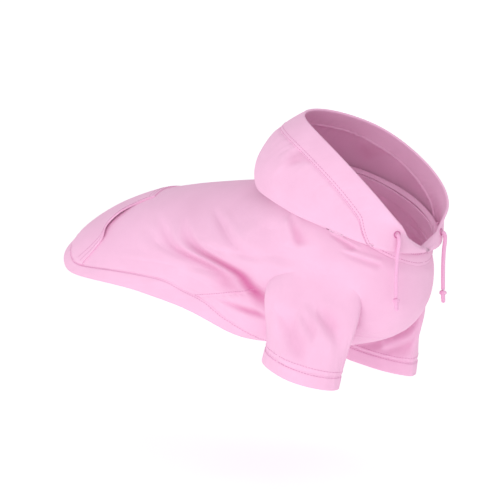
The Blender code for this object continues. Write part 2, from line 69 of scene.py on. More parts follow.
right, up, back = look_axes(CAMERA_AZIMUTH, CAMERA_ELEVATION)
camera = bpy.data.objects.new("camera", bpy.data.cameras.new("camera"))
scene.collection.objects.link(camera)
camera.location = right * FRAME_ACROSS + up * FRAME_UP + back * CAMERA_DISTANCE
camera.rotation_euler = (math.pi / 2 - CAMERA_ELEVATION, 0, CAMERA_AZIMUTH)
camera.data.sensor_width = SENSOR_WIDTH
camera.data.sensor_fit = "HORIZONTAL"
camera.data.lens = SENSOR_WIDTH * CAMERA_DISTANCE / FRAME_WIDTH
scene.camera = camera

# Light: a white studio. A broad soft key stands low at the camera's left, a weaker one high on the right,
# and the white room fills the rest, so the side is lightest, and the back's top and the far chest are duller.
KEY_AZIMUTH = math.radians(8)
KEY_ELEVATION = math.radians(6)
KEY_DISTANCE = 1.7
KEY_SIZE = 1.1
KEY_POWER = 9.4
TOP_AZIMUTH = math.radians(75)
TOP_ELEVATION = math.radians(52)
TOP_SIZE = 1.2
TOP_POWER = 2.6
LIGHT_HEIGHT = -0.05
ROOM_STRENGTH = 0.70
ROOM_COLOUR = (1.0, 0.99, 1.0, 1.0)


def add_soft_light(name, azimuth, elevation, size, power):
    """A square area light that looks at the hoodie's middle from a direction."""
    _, _, light_back = look_axes(azimuth, elevation)
    light = bpy.data.objects.new(name, bpy.data.lights.new(name, "AREA"))
    scene.collection.objects.link(light)
    light.data.size = size
    light.data.energy = power
    light.location = light_back * KEY_DISTANCE + np.array([0.0, 0.0, LIGHT_HEIGHT])
    light.rotation_euler = (math.pi / 2 - elevation, 0, azimuth)


add_soft_light("key_light", KEY_AZIMUTH, KEY_ELEVATION, KEY_SIZE, KEY_POWER)
add_soft_light("top_light", TOP_AZIMUTH, TOP_ELEVATION, TOP_SIZE, TOP_POWER)
world = bpy.data.worlds.new("white_room")
scene.world = world
world.use_nodes = True
world.node_tree.nodes["Background"].inputs["Color"].default_value = ROOM_COLOUR
world.node_tree.nodes["Background"].inputs["Strength"].default_value = ROOM_STRENGTH
scene.view_settings.view_transform = "Standard"

# Floor: pale matt paper, as wide as the room, that curves up into a wall far behind. It glows a little, as
# overexposed studio paper does.
FLOOR_HEIGHT = -0.286
FLOOR_REACH = 4.0
WALL_BEND = 1.2
WALL_HEIGHT = 3.0
WALL_STEPS = 25
FLOOR_COLOUR = (0.93, 0.93, 0.93, 1.0)
PAPER_GLOW = 0.34


def grid_faces(rows, columns, wrap_columns=False, wrap_rows=False):
    """Quads over a grid of rows by columns, four corners' numbers a face, joined round where it wraps."""
    number = np.arange(rows * columns).reshape(rows, columns)
    if wrap_columns:
        number = np.concatenate([number, number[:, :1]], axis=1)
    if wrap_rows:
        number = np.concatenate([number, number[:1]], axis=0)
    return np.stack([number[:-1, :-1], number[:-1, 1:], number[1:, 1:], number[1:, :-1]], -1)


def add_mesh(name, points, faces, material, lengths=None, marks=None):
    """Makes a mesh object of the points that its faces use.

    Every free edge is marked sharp, so that a wall added later keeps its own shading there. lengths gives
    each point's place along the piece, in metres, as its UV map, and marks gives named numbers at each
    point, which the material reads as attributes."""
    mesh = bpy.data.meshes.new(name)
    corners = faces.shape[-1]
    used, faces = np.unique(faces, return_inverse=True)
    points = points.reshape(-1, 3)[used]
    faces = faces.reshape(-1, corners)
    mesh.vertices.add(len(points))
    mesh.vertices.foreach_set("co", points.astype(np.float32).ravel())
    mesh.loops.add(faces.size)
    mesh.loops.foreach_set("vertex_index", faces.astype(np.int32).ravel())
    mesh.polygons.add(len(faces))
    mesh.polygons.foreach_set("loop_start", np.arange(0, faces.size, corners, dtype=np.int32))
    mesh.update(calc_edges=True)
    if lengths is not None:
        layer = mesh.uv_layers.new(name="lengths")
        corner_lengths = lengths.reshape(-1, 2)[used][faces.ravel()]
        layer.data.foreach_set("uv", corner_lengths.astype(np.float32).ravel())
    for mark, values in (marks or {}).items():
        layer = mesh.attributes.new(mark, "FLOAT", "POINT")
        layer.data.foreach_set("value", values.ravel()[used].astype(np.float32))
    mesh.validate()
    mesh.shade_smooth()
    edge_of_loop = np.empty(len(mesh.loops), dtype=np.int32)
    mesh.loops.foreach_get("edge_index", edge_of_loop)
    free = np.bincount(edge_of_loop, minlength=len(mesh.edges)) == 1
    sharp = mesh.attributes.new("sharp_edge", "BOOLEAN", "EDGE")
    sharp.data.foreach_set("value", free)
    mesh.materials.append(material)
    obj = bpy.data.objects.new(name, mesh)
    scene.collection.objects.link(obj)
    return obj


def new_material(name, colour, roughness):
    """A material with its own shader: a plain colour and one roughness over the whole surface."""
    material = bpy.data.materials.new(name)
    material.use_nodes = True
    shader = material.node_tree.nodes["Principled BSDF"]
    shader.inputs["Base Color"].default_value = colour
    shader.inputs["Roughness"].default_value = roughness
    return material, shader


turn = np.linspace(0, math.pi / 2, WALL_STEPS)
paper_bend = FLOOR_REACH + WALL_BEND * np.sin(turn)
paper_depth = np.concatenate([[-FLOOR_REACH], paper_bend, [FLOOR_REACH + WALL_BEND]])
paper_rise = np.concatenate([[0.0], WALL_BEND * (1 - np.cos(turn)), [WALL_HEIGHT]])
paper_side = np.array([-FLOOR_REACH, FLOOR_REACH])
behind = np.array([-math.sin(CAMERA_AZIMUTH), math.cos(CAMERA_AZIMUTH), 0.0])
paper = (
    paper_depth[:, None, None] * behind
    + paper_side[None, :, None] * right
    + (FLOOR_HEIGHT + paper_rise)[:, None, None] * np.array([0.0, 0.0, 1.0])
)
paper_material, paper_shader = new_material("paper", FLOOR_COLOUR, 0.9)
paper_shader.inputs["Emission Color"].default_value = (1, 1, 1, 1)
paper_shader.inputs["Emission Strength"].default_value = PAPER_GLOW
floor = add_mesh("floor", paper, grid_faces(*paper.shape[:2]), paper_material)

# Drawcords: two free ends of one soft braided cotton cord that runs through the hood's casing. Each comes out
# of its eyelet, bends over the thread ring and hangs. An overhand knot and a short round tail end it.
CORD_DIAMETER = 0.0038
CORD_STEP = 0.00055
CORD_SIDES = 20
BRAID_PITCH = 0.0056
BRAID_STRANDS = 5
BRAID_RELIEF = 0.00013
CORD_ROUTES = {
    "right": (
        (0.1623, -0.0411, -0.0322),
        (0.1637, -0.0417, -0.0337),
        (0.1644, -0.0421, -0.0356),
        (0.1647, -0.0422, -0.0377),
        (0.1644, -0.0423, -0.0425),
        (0.1636, -0.0425, -0.0485),
        (0.1630, -0.0427, -0.0555),
        (0.1626, -0.0428, -0.0630),
        (0.1624, -0.0429, -0.0710),
        (0.1623, -0.0429, -0.0790),
        (0.1624, -0.0430, -0.0860),
        (0.1625, -0.0430, -0.0905),
    ),
    "left": (
        (0.1659, 0.0314, -0.0380),
        (0.1674, 0.0317, -0.0393),
        (0.1683, 0.0319, -0.0411),
        (0.1686, 0.0320, -0.0432),
        (0.1682, 0.0322, -0.0480),
        (0.1673, 0.0324, -0.0540),
        (0.1667, 0.0326, -0.0610),
        (0.1663, 0.0328, -0.0680),
        (0.1661, 0.0330, -0.0760),
        (0.1661, 0.0331, -0.0840),
        (0.1662, 0.0332, -0.0900),
        (0.1662, 0.0332, -0.0935),
    ),
}
CORD_DARK = (0.78, 0.34, 0.58, 1)
CORD_LIGHT = (0.93, 0.52, 0.75, 1)
KNOT_RADIUS = 0.0034
KNOT_STRAND = 0.0016
KNOT_STEPS = 160
KNOT_LOBE = 1.5
KNOT_SPREAD = 2.2
KNOT_THICKNESS = 0.62
KNOT_HEIGHT = 0.86
TAIL_LENGTH = 0.0062
TAIL_LEAN = 0.0006
TAIL_STEPS = 24
CORD_FINE_STEPS = 900


def smooth_rows(rows, place):
    """Rows of a table read at fractional row numbers: a cubic curve whose slope at each row is half the step
    between its two neighbours (Catmull-Rom)."""
    table = np.array(rows, float)
    last = len(table) - 1
    place = np.clip(place, 0, last)
    first = np.minimum(place.astype(int), last - 1)
    t = (place - first)[..., None]
    before = table[np.maximum(first - 1, 0)]
    after = table[np.minimum(first + 2, last)]
    here, there = table[first], table[first + 1]
    slope_in = np.where((first > 0)[..., None], (there - before) / 2, there - here)
    slope_out = np.where((first < last - 1)[..., None], (after - here) / 2, there - here)
    return (
        here * (2 * t**3 - 3 * t**2 + 1)
        + slope_in * (t**3 - 2 * t**2 + t)
        + there * (3 * t**2 - 2 * t**3)
        + slope_out * (t**3 - t**2)
    )


def path_length(points):
    """The distance along a path at each of its points, from its first."""
    return np.append(0, np.cumsum(np.linalg.norm(np.diff(points, axis=0), axis=1)))


def along_path(values, length, places):
    """Values given at the points of a path, read at distances along it."""
    return np.stack([np.interp(places, length, values[:, i]) for i in range(3)], -1)


def even_steps(points, step):
    """Points a step apart, measured along a line through the given points."""
    length = path_length(points)
    places = np.linspace(0, length[-1], max(2, round(length[-1] / step) + 1))
    return along_path(points, length, places), places


def unit(vectors):
    """Each vector divided by its own length."""
    return vectors / np.maximum(np.linalg.norm(vectors, axis=-1, keepdims=True), 1e-12)


def tube_axes(points):
    """Two directions square to a path at each of its points, which turn as little as they can along it."""
    tangent = unit(np.gradient(points, axis=0))
    helper = np.array([0.0, 1.0, 0.0]) if abs(tangent[0, 1]) < 0.8 else np.array([1.0, 0.0, 0.0])
    side = np.empty_like(points)
    last = np.cross(tangent[0], helper)
    for i, direction in enumerate(tangent):
        last = last - direction * (last @ direction)
        last /= np.linalg.norm(last)
        side[i] = last
    return side, np.cross(tangent, side)


def braid_lift(along, around):
    """The relief of a round braid: two sets of strands that wind opposite ways, whichever lies on top."""
    wind = along / BRAID_PITCH * 2 * math.pi
    one = np.cos(BRAID_STRANDS * around + wind * 2)
    other = np.cos(BRAID_STRANDS * around - wind * 2)
    return BRAID_RELIEF * np.maximum(one, other)


def braided_tube(points, places, radius, rounded_end):
    """A tube round a path with the braid's relief. A rounded end is drawn in to a half ball."""
    side, other = tube_axes(points)
    around = np.linspace(0, 2 * math.pi, CORD_SIDES, endpoint=False)
    size = np.full(len(places), radius)
    if rounded_end:
        left = np.clip((places[-1] - places) / radius, 0, 1)
        size = radius * np.sqrt(np.maximum(1 - (1 - left) ** 2, 1e-4))
    lift = braid_lift(places[:, None], around[None, :]) * (size / radius)[:, None]
    reach = size[:, None] + lift
    shell = (
        points[:, None]
        + reach[..., None] * np.cos(around)[None, :, None] * side[:, None]
        + reach[..., None] * np.sin(around)[None, :, None] * other[:, None]
    )
    lengths = np.stack(np.broadcast_arrays(around[None, :] * radius, places[:, None]), -1)
    return shell, lengths


def add_tube(name, points, places, radius, material, rounded_end=False):
    """A braided tube as one closed object, its ends closed by a fan of faces."""
    shell, lengths = braided_tube(points, places, radius, rounded_end)
    rows, columns = shell.shape[:2]
    quads = grid_faces(rows, columns, wrap_columns=True).reshape(-1, 4)
    first_middle = rows * columns
    ring = np.arange(columns)
    ahead = np.roll(ring, -1)
    last_ring = first_middle - columns
    first_fan = np.stack([np.full(columns, first_middle), ahead, ring], -1)
    last_fan = np.stack([np.full(columns, first_middle + 1), ring + last_ring, ahead + last_ring], -1)
    all_points = np.concatenate([shell.reshape(-1, 3), points[[0, -1]]])
    all_lengths = np.concatenate([lengths.reshape(-1, 2), np.zeros((2, 2))])
    fans = np.concatenate([first_fan, last_fan])
    return add_mixed_mesh(name, all_points, quads, fans, all_lengths, material)


def add_mixed_mesh(name, points, quads, triangles, lengths, material):
    """A mesh object of quads and triangles together, with its UV map in metres."""
    mesh = bpy.data.meshes.new(name)
    corners = quads.tolist() + triangles.tolist()
    mesh.from_pydata(points.tolist(), [], corners)
    layer = mesh.uv_layers.new(name="lengths")
    order = np.concatenate([quads.ravel(), triangles.ravel()])
    layer.data.foreach_set("uv", lengths[order].astype(np.float32).ravel())
    mesh.shade_smooth()
    mesh.materials.append(material)
    obj = bpy.data.objects.new(name, mesh)
    scene.collection.objects.link(obj)
    return obj


def add_node(tree, kind, inputs=None, **settings):
    """A shader node with its settings and the values of its inputs."""
    node = tree.nodes.new(kind)
    for setting, value in settings.items():
        setattr(node, setting, value)
    for socket, value in (inputs or {}).items():
        node.inputs[socket].default_value = value
    return node


def add_noise(tree, scale, detail, roughness=0.5):
    """Noise over the object's own coordinates, as a number from 0 to 1."""
    place = add_node(tree, "ShaderNodeTexCoord")
    noise = add_node(tree, "ShaderNodeTexNoise", {"Scale": scale, "Detail": detail, "Roughness": roughness})
    tree.links.new(place.outputs["Object"], noise.inputs["Vector"])
    return noise.outputs["Fac"]


def add_tint(tree, number, dark, light, low=0.0, high=1.0):
    """A colour between a dark and a light tint, as a number runs from low to high."""
    tint = add_node(tree, "ShaderNodeValToRGB")
    for element, position, colour in zip(tint.color_ramp.elements, (low, high), (dark, light)):
        element.position = position
        element.color = colour
    tree.links.new(number, tint.inputs["Fac"])
    return tint.outputs["Color"]


def add_bump(tree, number, strength, distance, under=None):
    """The normal of a surface raised by a number, over another bump if one is given."""
    bump = add_node(tree, "ShaderNodeBump", {"Strength": strength, "Distance": distance})
    tree.links.new(number, bump.inputs["Height"])
    if under:
        tree.links.new(under, bump.inputs["Normal"])
    return bump.outputs["Normal"]


def cotton_cord():
    """Soft pink cotton: slightly mottled yarn, a faint sheen and fine fibres as bump."""
    material, shader = new_material("cotton_cord", CORD_LIGHT, 0.85)
    tree = material.node_tree
    yarn = add_noise(tree, 900.0, 4.0, 0.6)
    tree.links.new(add_tint(tree, yarn, CORD_DARK, CORD_LIGHT), shader.inputs["Base Color"])
    tree.links.new(add_bump(tree, yarn, 0.35, 0.0002), shader.inputs["Normal"])
    shader.inputs["Sheen Weight"].default_value = 0.25
    shader.inputs["Sheen Roughness"].default_value = 0.5
    return material


def knot_path(centre):
    """An overhand knot: a trefoil wound about the cord's own line and flattened along it.

    A trefoil is a circle with a second turn, twice as fast and larger, that winds three times in and out."""
    t = np.linspace(0, 2 * math.pi, KNOT_STEPS)
    turns = KNOT_RADIUS - KNOT_STRAND
    x = turns * (np.sin(t) + KNOT_LOBE * np.sin(2 * t)) / KNOT_SPREAD
    y = turns * (np.cos(t) - KNOT_LOBE * np.cos(2 * t)) / KNOT_SPREAD
    z = turns * np.sin(3 * t) * KNOT_THICKNESS
    return centre + np.stack([x, z, y], -1) * [1.0, 1.0, KNOT_HEIGHT]


cord_material = cotton_cord()
for side_name, route in CORD_ROUTES.items():
    fine = smooth_rows(route, np.linspace(0, len(route) - 1, CORD_FINE_STEPS))
    line, places = even_steps(fine, CORD_STEP)
    cord_radius = (CORD_DIAMETER - BRAID_RELIEF) / 2
    cord = add_tube("drawcord_" + side_name, line, places, cord_radius, cord_material)
    knot_centre = line[-1] - [0, 0, KNOT_RADIUS]
    loop, loop_places = even_steps(knot_path(knot_centre), CORD_STEP)
    knot = add_tube("knot_" + side_name, loop, loop_places, KNOT_STRAND, cord_material)
    tail_top = knot_centre - [0, 0, KNOT_RADIUS * 0.5]
    tail_end = knot_centre - [-TAIL_LEAN, 0, KNOT_RADIUS + TAIL_LENGTH]
    drop = np.linspace(0, 1, TAIL_STEPS)[:, None]
    tail_line, tail_places = even_steps(tail_top + (tail_end - tail_top) * drop, CORD_STEP)
    tail = add_tube("tail_" + side_name, tail_line, tail_places, CORD_DIAMETER / 2, cord_material, True)
    for piece in (cord, knot, tail):
        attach(piece, "root")
    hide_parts("drawcord_" + side_name)
    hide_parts("knot_" + side_name)

# Main tube: brushed cotton fleece over the back, the sides and the chest, with a triangular panel let in
# along the belly. It lies smooth over the back, and slanting folds run down to the armholes, where the cloth
# is drawn tight.
BODY_LENGTH = 0.400
BODY_DEPTH = 0.153
BODY_HALF_WIDTH = 0.080
BODY_RUN = 0.5 * BODY_LENGTH
CLOTH = 0.002
HEM_WIDTH = 0.0150
BODY_RINGS = (
    # top_x, top_z, side_x, side_z, half_width, bottom_x, bottom_z, square
    (0.020, 0.020, 0.214, -0.100, 0.800, 0.412, -0.428, 0.00),
    (-0.030, 0.008, 0.168, -0.275, 0.910, 0.418, -0.500, 0.00),
    (-0.090, -0.004, 0.118, -0.430, 0.985, 0.405, -0.690, 0.00),
    (-0.165, -0.028, 0.048, -0.520, 1.010, 0.340, -0.880, 0.01),
    (-0.255, -0.062, -0.050, -0.570, 1.010, 0.212, -0.985, 0.02),
    (-0.355, -0.120, -0.162, -0.620, 0.990, 0.050, -1.000, 0.03),
    (-0.455, -0.220, -0.288, -0.680, 0.975, -0.112, -0.965, 0.05),
    (-0.525, -0.325, -0.405, -0.730, 0.930, -0.262, -0.940, 0.07),
    (-0.565, -0.430, -0.500, -0.780, 0.820, -0.375, -0.930, 0.08),
)
HEM_LINE = (
    # angle, row
    (0, 8.00),
    (45, 8.00),
    (66, 7.95),
    (74, 7.70),
    (82, 7.05),
    (91, 6.20),
    (106, 5.43),
    (123, 5.20),
    (150, 5.12),
    (180, 5.10),
)
BODY_FOLDS = (
    # side, share_0, angle_0, share_1, angle_1, share_2, angle_2, width, depth, lean, painted crease shade
    (-1, 0.595, 41, 0.554, 85, 0.860, 100, 0.0058, 0.0040, -0.35, 0.40),
    (-1, 0.487, 45, 0.521, 84, 0.800, 113, 0.0054, 0.0042, -0.35, 0.95),
    (-1, 0.367, 38, 0.284, 75, 0.465, 81, 0.0062, 0.0024, -0.3, 0.05),
    (-1, 0.655, 50, 0.599, 79, 0.795, 87, 0.0068, 0.0024, -0.3, 0.05),
    (-1, 0.925, 100, 0.893, 110, 0.780, 118, 0.0042, 0.0020, -0.3, 0.60),
    (-1, 0.120, 64, 0.214, 84, 0.383, 95, 0.0140, 0.0028, 0.0, 0.00),
    (-1, 0.052, 76, 0.138, 86, 0.220, 96, 0.0036, 0.0021, -0.5, 0.35),
    (-1, 0.060, 103, 0.055, 116, 0.078, 125, 0.0034, 0.0014, 0.4, 0.20),
    (-1, 0.135, 114, 0.129, 134, 0.130, 143, 0.0048, 0.0014, 0.4, 0.12),
    (-1, 0.440, 127, 0.521, 137, 0.600, 146, 0.0042, 0.0014, 0.3, 0.20),
    (1, 0.560, 44, 0.470, 80, 0.740, 103, 0.0060, 0.0025, -0.6, 0.40),
    (1, 0.430, 40, 0.330, 74, 0.620, 98, 0.0065, 0.0026, -0.5, 0.30),
    (1, 0.330, 48, 0.270, 66, 0.400, 84, 0.0075, 0.0014, -0.5, 0.10),
    (1, 0.060, 80, 0.075, 88, 0.170, 96, 0.0040, 0.0015, -0.7, 0.20),
    (1, 0.090, 106, 0.100, 124, 0.140, 142, 0.0050, 0.0013, 0.5, 0.10),
)
HEM_STEPS = 1440
HEM_BLUR = 14
FOLD_PIECES = 20
# Painted crease shade starts this share along each fold and grows over the next share.
CREASE_SHADE_FROM = 0.15
CREASE_SHADE_RISE = 0.5
FOLD_START_WIDTH = 0.5
FOLD_END_WIDTH = 1.35
FOLD_RISE = 0.30
FOLD_FADE = 0.22
RIDGE_PLACE = 1.7
RIDGE_SPREAD = 1.15
RIDGE_HEIGHT = 0.42
ARM_SHARE = 0.478
ARM_SHARE_REACH = 0.165
ARM_ANGLE = 118
ARM_ANGLE_REACH = 22
ARM_BLEND = 2.0
PANEL_SHARE = ARM_SHARE + ARM_SHARE_REACH
PANEL_ANGLE = 100
FLEECE_DARK = (0.830, 0.470, 0.665, 1)
FLEECE_LIGHT = (0.885, 0.515, 0.720, 1)
# The deeper pink painted into the bottoms of folds, standing in for the shade and bounced pink light in
# creases.
FLEECE_CREASE_SHADE = (0.62, 0.14, 0.34, 1)
BODY_ROWS = (60, 76, 80)
BODY_COLUMNS = (96, 5, 36, 34)
SEAM_SINK = 0.0009
SEAM_REACH = 0.0013
PUCKER_DEPTH = 0.00022
PUCKER_REACH = 0.010
NECK_PUCKER = 0.6
PANEL_PUCKER = 0.7
SWELL_HEIGHT = 0.00016
SWELL_RISE = 0.125
STILL_SHARE = 0.02
STILL_RISE = 0.05
HEM_SIDE_RUN = 1.15 * BODY_RUN
STEP_IN_SHARE = 0.003


def smooth_step(value):
    """0 below 0, 1 above 1 and a soft rise between: 3v squared less 2v cubed."""
    value = np.clip(value, 0, 1)
    return value * value * (3 - 2 * value)


def ring_points(top, side, bottom, half_width, square, angle):
    """A ring through its top, side and bottom: an ellipse bent towards its side, and squared a little."""
    down = (np.cos(angle) - square * np.cos(3 * angle)) / (1 - square)
    out = (np.sin(angle) + square * np.sin(3 * angle)) / (1 - square)
    middle = (top + bottom) / 2
    flat = middle + (top - bottom) / 2 * down[..., None] + (side - middle) * (out**2)[..., None]
    return np.stack([flat[..., 0], half_width * out, flat[..., 1]], -1)


def body_ring(row, angle):
    """A point of the main tube at a fractional row of its rings and an angle from the spine."""
    table = smooth_rows(BODY_RINGS, row)
    flat = np.array([BODY_LENGTH, BODY_DEPTH])
    return ring_points(
        table[..., 0:2] * flat,
        table[..., 2:4] * flat,
        table[..., 5:7] * flat,
        table[..., 4] * BODY_HALF_WIDTH,
        table[..., 7],
        angle,
    )


def blur_round(values, reach):
    """Values at even steps round a full turn, each replaced by a bell-shaped mean of its neighbours."""
    steps = np.arange(-3 * reach, 3 * reach + 1)
    weights = np.exp(-((steps / reach) ** 2))
    return np.convolve(np.pad(values, 3 * reach, mode="wrap"), weights / weights.sum(), mode="valid")


def hem_table():
    """The hem round a full turn: bearings, the row of its free edge, and how many rows a metre of width spans
    there, measured square to the hem."""
    line = np.array(HEM_LINE, float)
    bearings = np.linspace(-math.pi, math.pi, HEM_STEPS, endpoint=False)
    place = np.interp(np.abs(bearings), np.radians(line[:, 0]), np.arange(len(line)))
    edge = blur_round(smooth_rows(line, place)[..., 1], HEM_BLUR)
    points = body_ring(edge, bearings)
    turn = unit(np.roll(points, -1, axis=0) - np.roll(points, 1, axis=0))
    step = 0.02
    pace = (body_ring(edge - step, bearings) - points) / step
    rows_a_metre = blur_round(1 / np.linalg.norm(np.cross(pace, turn), axis=-1), HEM_BLUR)
    return bearings, edge, rows_a_metre


def hem_row(angle, width=0.0):
    """The row of the hem's free edge at an angle, or of a line a width ahead of it."""
    bearings, edge, rows_a_metre = HEM_ROUND
    return np.interp(angle, bearings, edge - width * rows_a_metre, period=2 * math.pi)


def round_armhole(share, angle):
    """Draws the square of grid cells at each armhole into an ellipse, and fades out beyond it."""
    side = np.where(angle < 0, -1.0, 1.0)
    p = (share - ARM_SHARE) / ARM_SHARE_REACH
    q = (np.abs(angle) - math.radians(ARM_ANGLE)) / math.radians(ARM_ANGLE_REACH)
    square = np.maximum(np.maximum(np.abs(p), np.abs(q)), 1e-9)
    circle = np.maximum(np.hypot(p, q), 1e-9)
    fade = smooth_step((ARM_BLEND - square) / (ARM_BLEND - 1))
    pull = 1 + fade * (square / circle - 1)
    share = ARM_SHARE + p * pull * ARM_SHARE_REACH
    angle = side * (math.radians(ARM_ANGLE) + q * pull * math.radians(ARM_ANGLE_REACH))
    return share, angle


HEM_ROUND = hem_table()


def body_plain(share, angle):
    """The main tube's outer surface without its folds. Share 0 is the neck seam and 1 the seam of the hem."""
    return body_ring(share * hem_row(angle, HEM_WIDTH), angle)


def surface_normal(surface, share, angle, step=STEP_IN_SHARE):
    """The outward normal of a surface of two parameters: its slope round it crossed with that along it."""
    along = surface(share + step, angle) - surface(share - step, angle)
    around = surface(share, angle + step) - surface(share, angle - step)
    return unit(np.cross(around, along))


def fold_lift(folds, x, y):
    """How far a table of folds lifts or sinks the cloth at a place x along and y across it, in metres.

    Each fold follows a bent line from its start through its pull to its end, and widens along it. Across it
    the cloth sinks in a bell-shaped valley, steeper on the side that it leans to, with a soft ridge on both
    sides. It rises slowly from its start and fades at its end. The second result marks the valleys that get
    painted crease shade, a deeper pink that stands in for the shade gathering there."""
    lift = np.zeros(np.broadcast(x, y).shape)
    crease_shade_mark = np.zeros(lift.shape)
    t = np.linspace(0, 1, FOLD_PIECES + 1)[:, None]
    for start, pull, end, width, depth, lean, crease_shade in folds:
        start, pull, end = np.array(start), np.array(pull), np.array(end)
        path = start * (1 - t) ** 2 + pull * 2 * t * (1 - t) + end * t**2
        nearest = np.full(lift.shape, np.inf)
        signed = np.zeros(lift.shape)
        along = np.zeros(lift.shape)
        for i in range(FOLD_PIECES):
            run = path[i + 1] - path[i]
            from_x, from_y = x - path[i, 0], y - path[i, 1]
            part = np.clip((from_x * run[0] + from_y * run[1]) / (run @ run), 0, 1)
            gap_x, gap_y = from_x - part * run[0], from_y - part * run[1]
            away = np.hypot(gap_x, gap_y)
            closer = away < nearest
            along = np.where(closer, (i + part) / FOLD_PIECES, along)
            turned = np.sign(run[0] * gap_y - run[1] * gap_x)
            signed = np.where(closer, turned * away, signed)
            nearest = np.minimum(away, nearest)
        grown = FOLD_START_WIDTH + (FOLD_END_WIDTH - FOLD_START_WIDTH) * along
        across = signed / (width * grown)
        ends = smooth_step(along / FOLD_RISE) * smooth_step((1 - along) / FOLD_FADE)
        steep = across * (1 + lean * np.sign(across))
        valley = np.exp(-(steep**2))
        near_ridge = (1 + lean) * np.exp(-(((across - RIDGE_PLACE) / RIDGE_SPREAD) ** 2))
        far_ridge = (1 - lean) * np.exp(-(((across + RIDGE_PLACE) / RIDGE_SPREAD) ** 2))
        ridges = RIDGE_HEIGHT * (near_ridge + far_ridge)
        lift += depth * ends * (ridges - valley)
        # Painted shade: a deeper pink in the valley, growing along the fold.
        shade_growth = smooth_step((along - CREASE_SHADE_FROM) / CREASE_SHADE_RISE)
        crease_shade_mark = np.maximum(crease_shade_mark, crease_shade * ends * valley * shade_growth)
    return lift, crease_shade_mark


def folds_of_side(table, side, run, half_width):
    """The rows of one side in a table of folds, with their places along and around turned into metres."""
    return [
        (*((row[i] * run, math.radians(row[i + 1]) * half_width) for i in (1, 3, 5)), *row[7:])
        for row in table
        if row[0] == side
    ]


def folds_both_sides(table, place, angle, run, half_width):
    """The lift and the painted crease shade of a table of folds, each side of the piece reading its own rows.
    """
    lift = np.zeros(np.broadcast(place, angle).shape)
    crease_shade = np.zeros(lift.shape)
    for side in (-1, 1):
        folds = folds_of_side(table, side, run, half_width)
        here, mark = fold_lift(folds, place * run, side * angle * half_width)
        own_side = side * angle >= 0
        lift = np.where(own_side, lift + here, lift)
        crease_shade = np.where(own_side, np.maximum(crease_shade, mark), crease_shade)
    return lift, crease_shade


def body_folds(share, angle):
    """The folds of the main tube, read at a share and an angle."""
    return folds_both_sides(BODY_FOLDS, share, angle, BODY_RUN, BODY_HALF_WIDTH)


def slow_waves(x, y):
    """Soft uneven swells of worn cloth: the sum of three crossing waves of different lengths."""
    return SWELL_HEIGHT * (
        np.sin(x * 71 + 2.1 * np.sin(y * 47))
        + np.sin(y * 63 + 1.7 * np.sin(x * 38 + 1.0))
        + np.sin((x + y) * 96 + 0.6)
    )


def seam_pucker(away, along):
    """The ripples that a sewn seam draws into the cloth and its own groove.

    The ripples are two uneven waves along the seam that die out away from it. The groove is bell-shaped."""
    ripple = np.sin(along * 690 + 1.3 * np.sin(along * 173))
    ripple = ripple + 0.6 * np.sin(along * 1130 + 2.0 * np.sin(along * 91))
    groove = SEAM_SINK * np.exp(-((away / SEAM_REACH) ** 2))
    return PUCKER_DEPTH * ripple * np.exp(-away / PUCKER_REACH) - groove


def body_lift(share, angle):
    """All of the relief of the main tube: folds, swells and the ripples at its sewn edges and its panel."""
    folds, crease_shade = body_folds(share, angle)
    x, y = share * BODY_RUN, angle * BODY_HALF_WIDTH
    hem_away = np.maximum(1 - share, 0) * HEM_SIDE_RUN
    neck_away = np.maximum(share, 0) * BODY_RUN
    lift = folds * smooth_step((share - STILL_SHARE) / STILL_RISE)
    lift = lift + slow_waves(x, y) * np.minimum(1, share / SWELL_RISE)
    lift = lift + seam_pucker(hem_away, y) + NECK_PUCKER * seam_pucker(neck_away, y)
    behind_arm = (share - PANEL_SHARE) * BODY_RUN
    below_seam = (np.abs(angle) - math.radians(PANEL_ANGLE)) * BODY_HALF_WIDTH
    panel_away = np.hypot(np.minimum(behind_arm, 0), below_seam)
    front_away = np.hypot(behind_arm, np.minimum(below_seam, 0))
    lift = lift + PANEL_PUCKER * seam_pucker(np.minimum(panel_away, front_away), x)
    return lift, crease_shade


def body_surface(share, angle, out=0.0):
    """The main tube's outer surface with its relief, or a layer that lies a distance out from it."""
    lift, _ = body_lift(share, angle)
    return body_plain(share, angle) + surface_normal(body_plain, share, angle) * (lift + out)[..., None]


def stretches(knots, counts):
    """Evenly spaced values within each stretch between two knots."""
    parts = [np.linspace(a, b, n, endpoint=False) for a, b, n in zip(knots, knots[1:], counts)]
    return np.append(np.concatenate(parts), knots[-1])


def body_grid():
    """The shares and angles of the main tube's grid lines, which meet the edges of the two armholes."""
    shares = stretches((0, ARM_SHARE - ARM_SHARE_REACH, ARM_SHARE + ARM_SHARE_REACH, 1), BODY_ROWS)
    knots = (0, ARM_ANGLE - ARM_ANGLE_REACH, PANEL_ANGLE, ARM_ANGLE + ARM_ANGLE_REACH, 180)
    half = np.radians(stretches(knots, BODY_COLUMNS))
    return shares, np.concatenate([-half[:0:-1], half[:-1]])


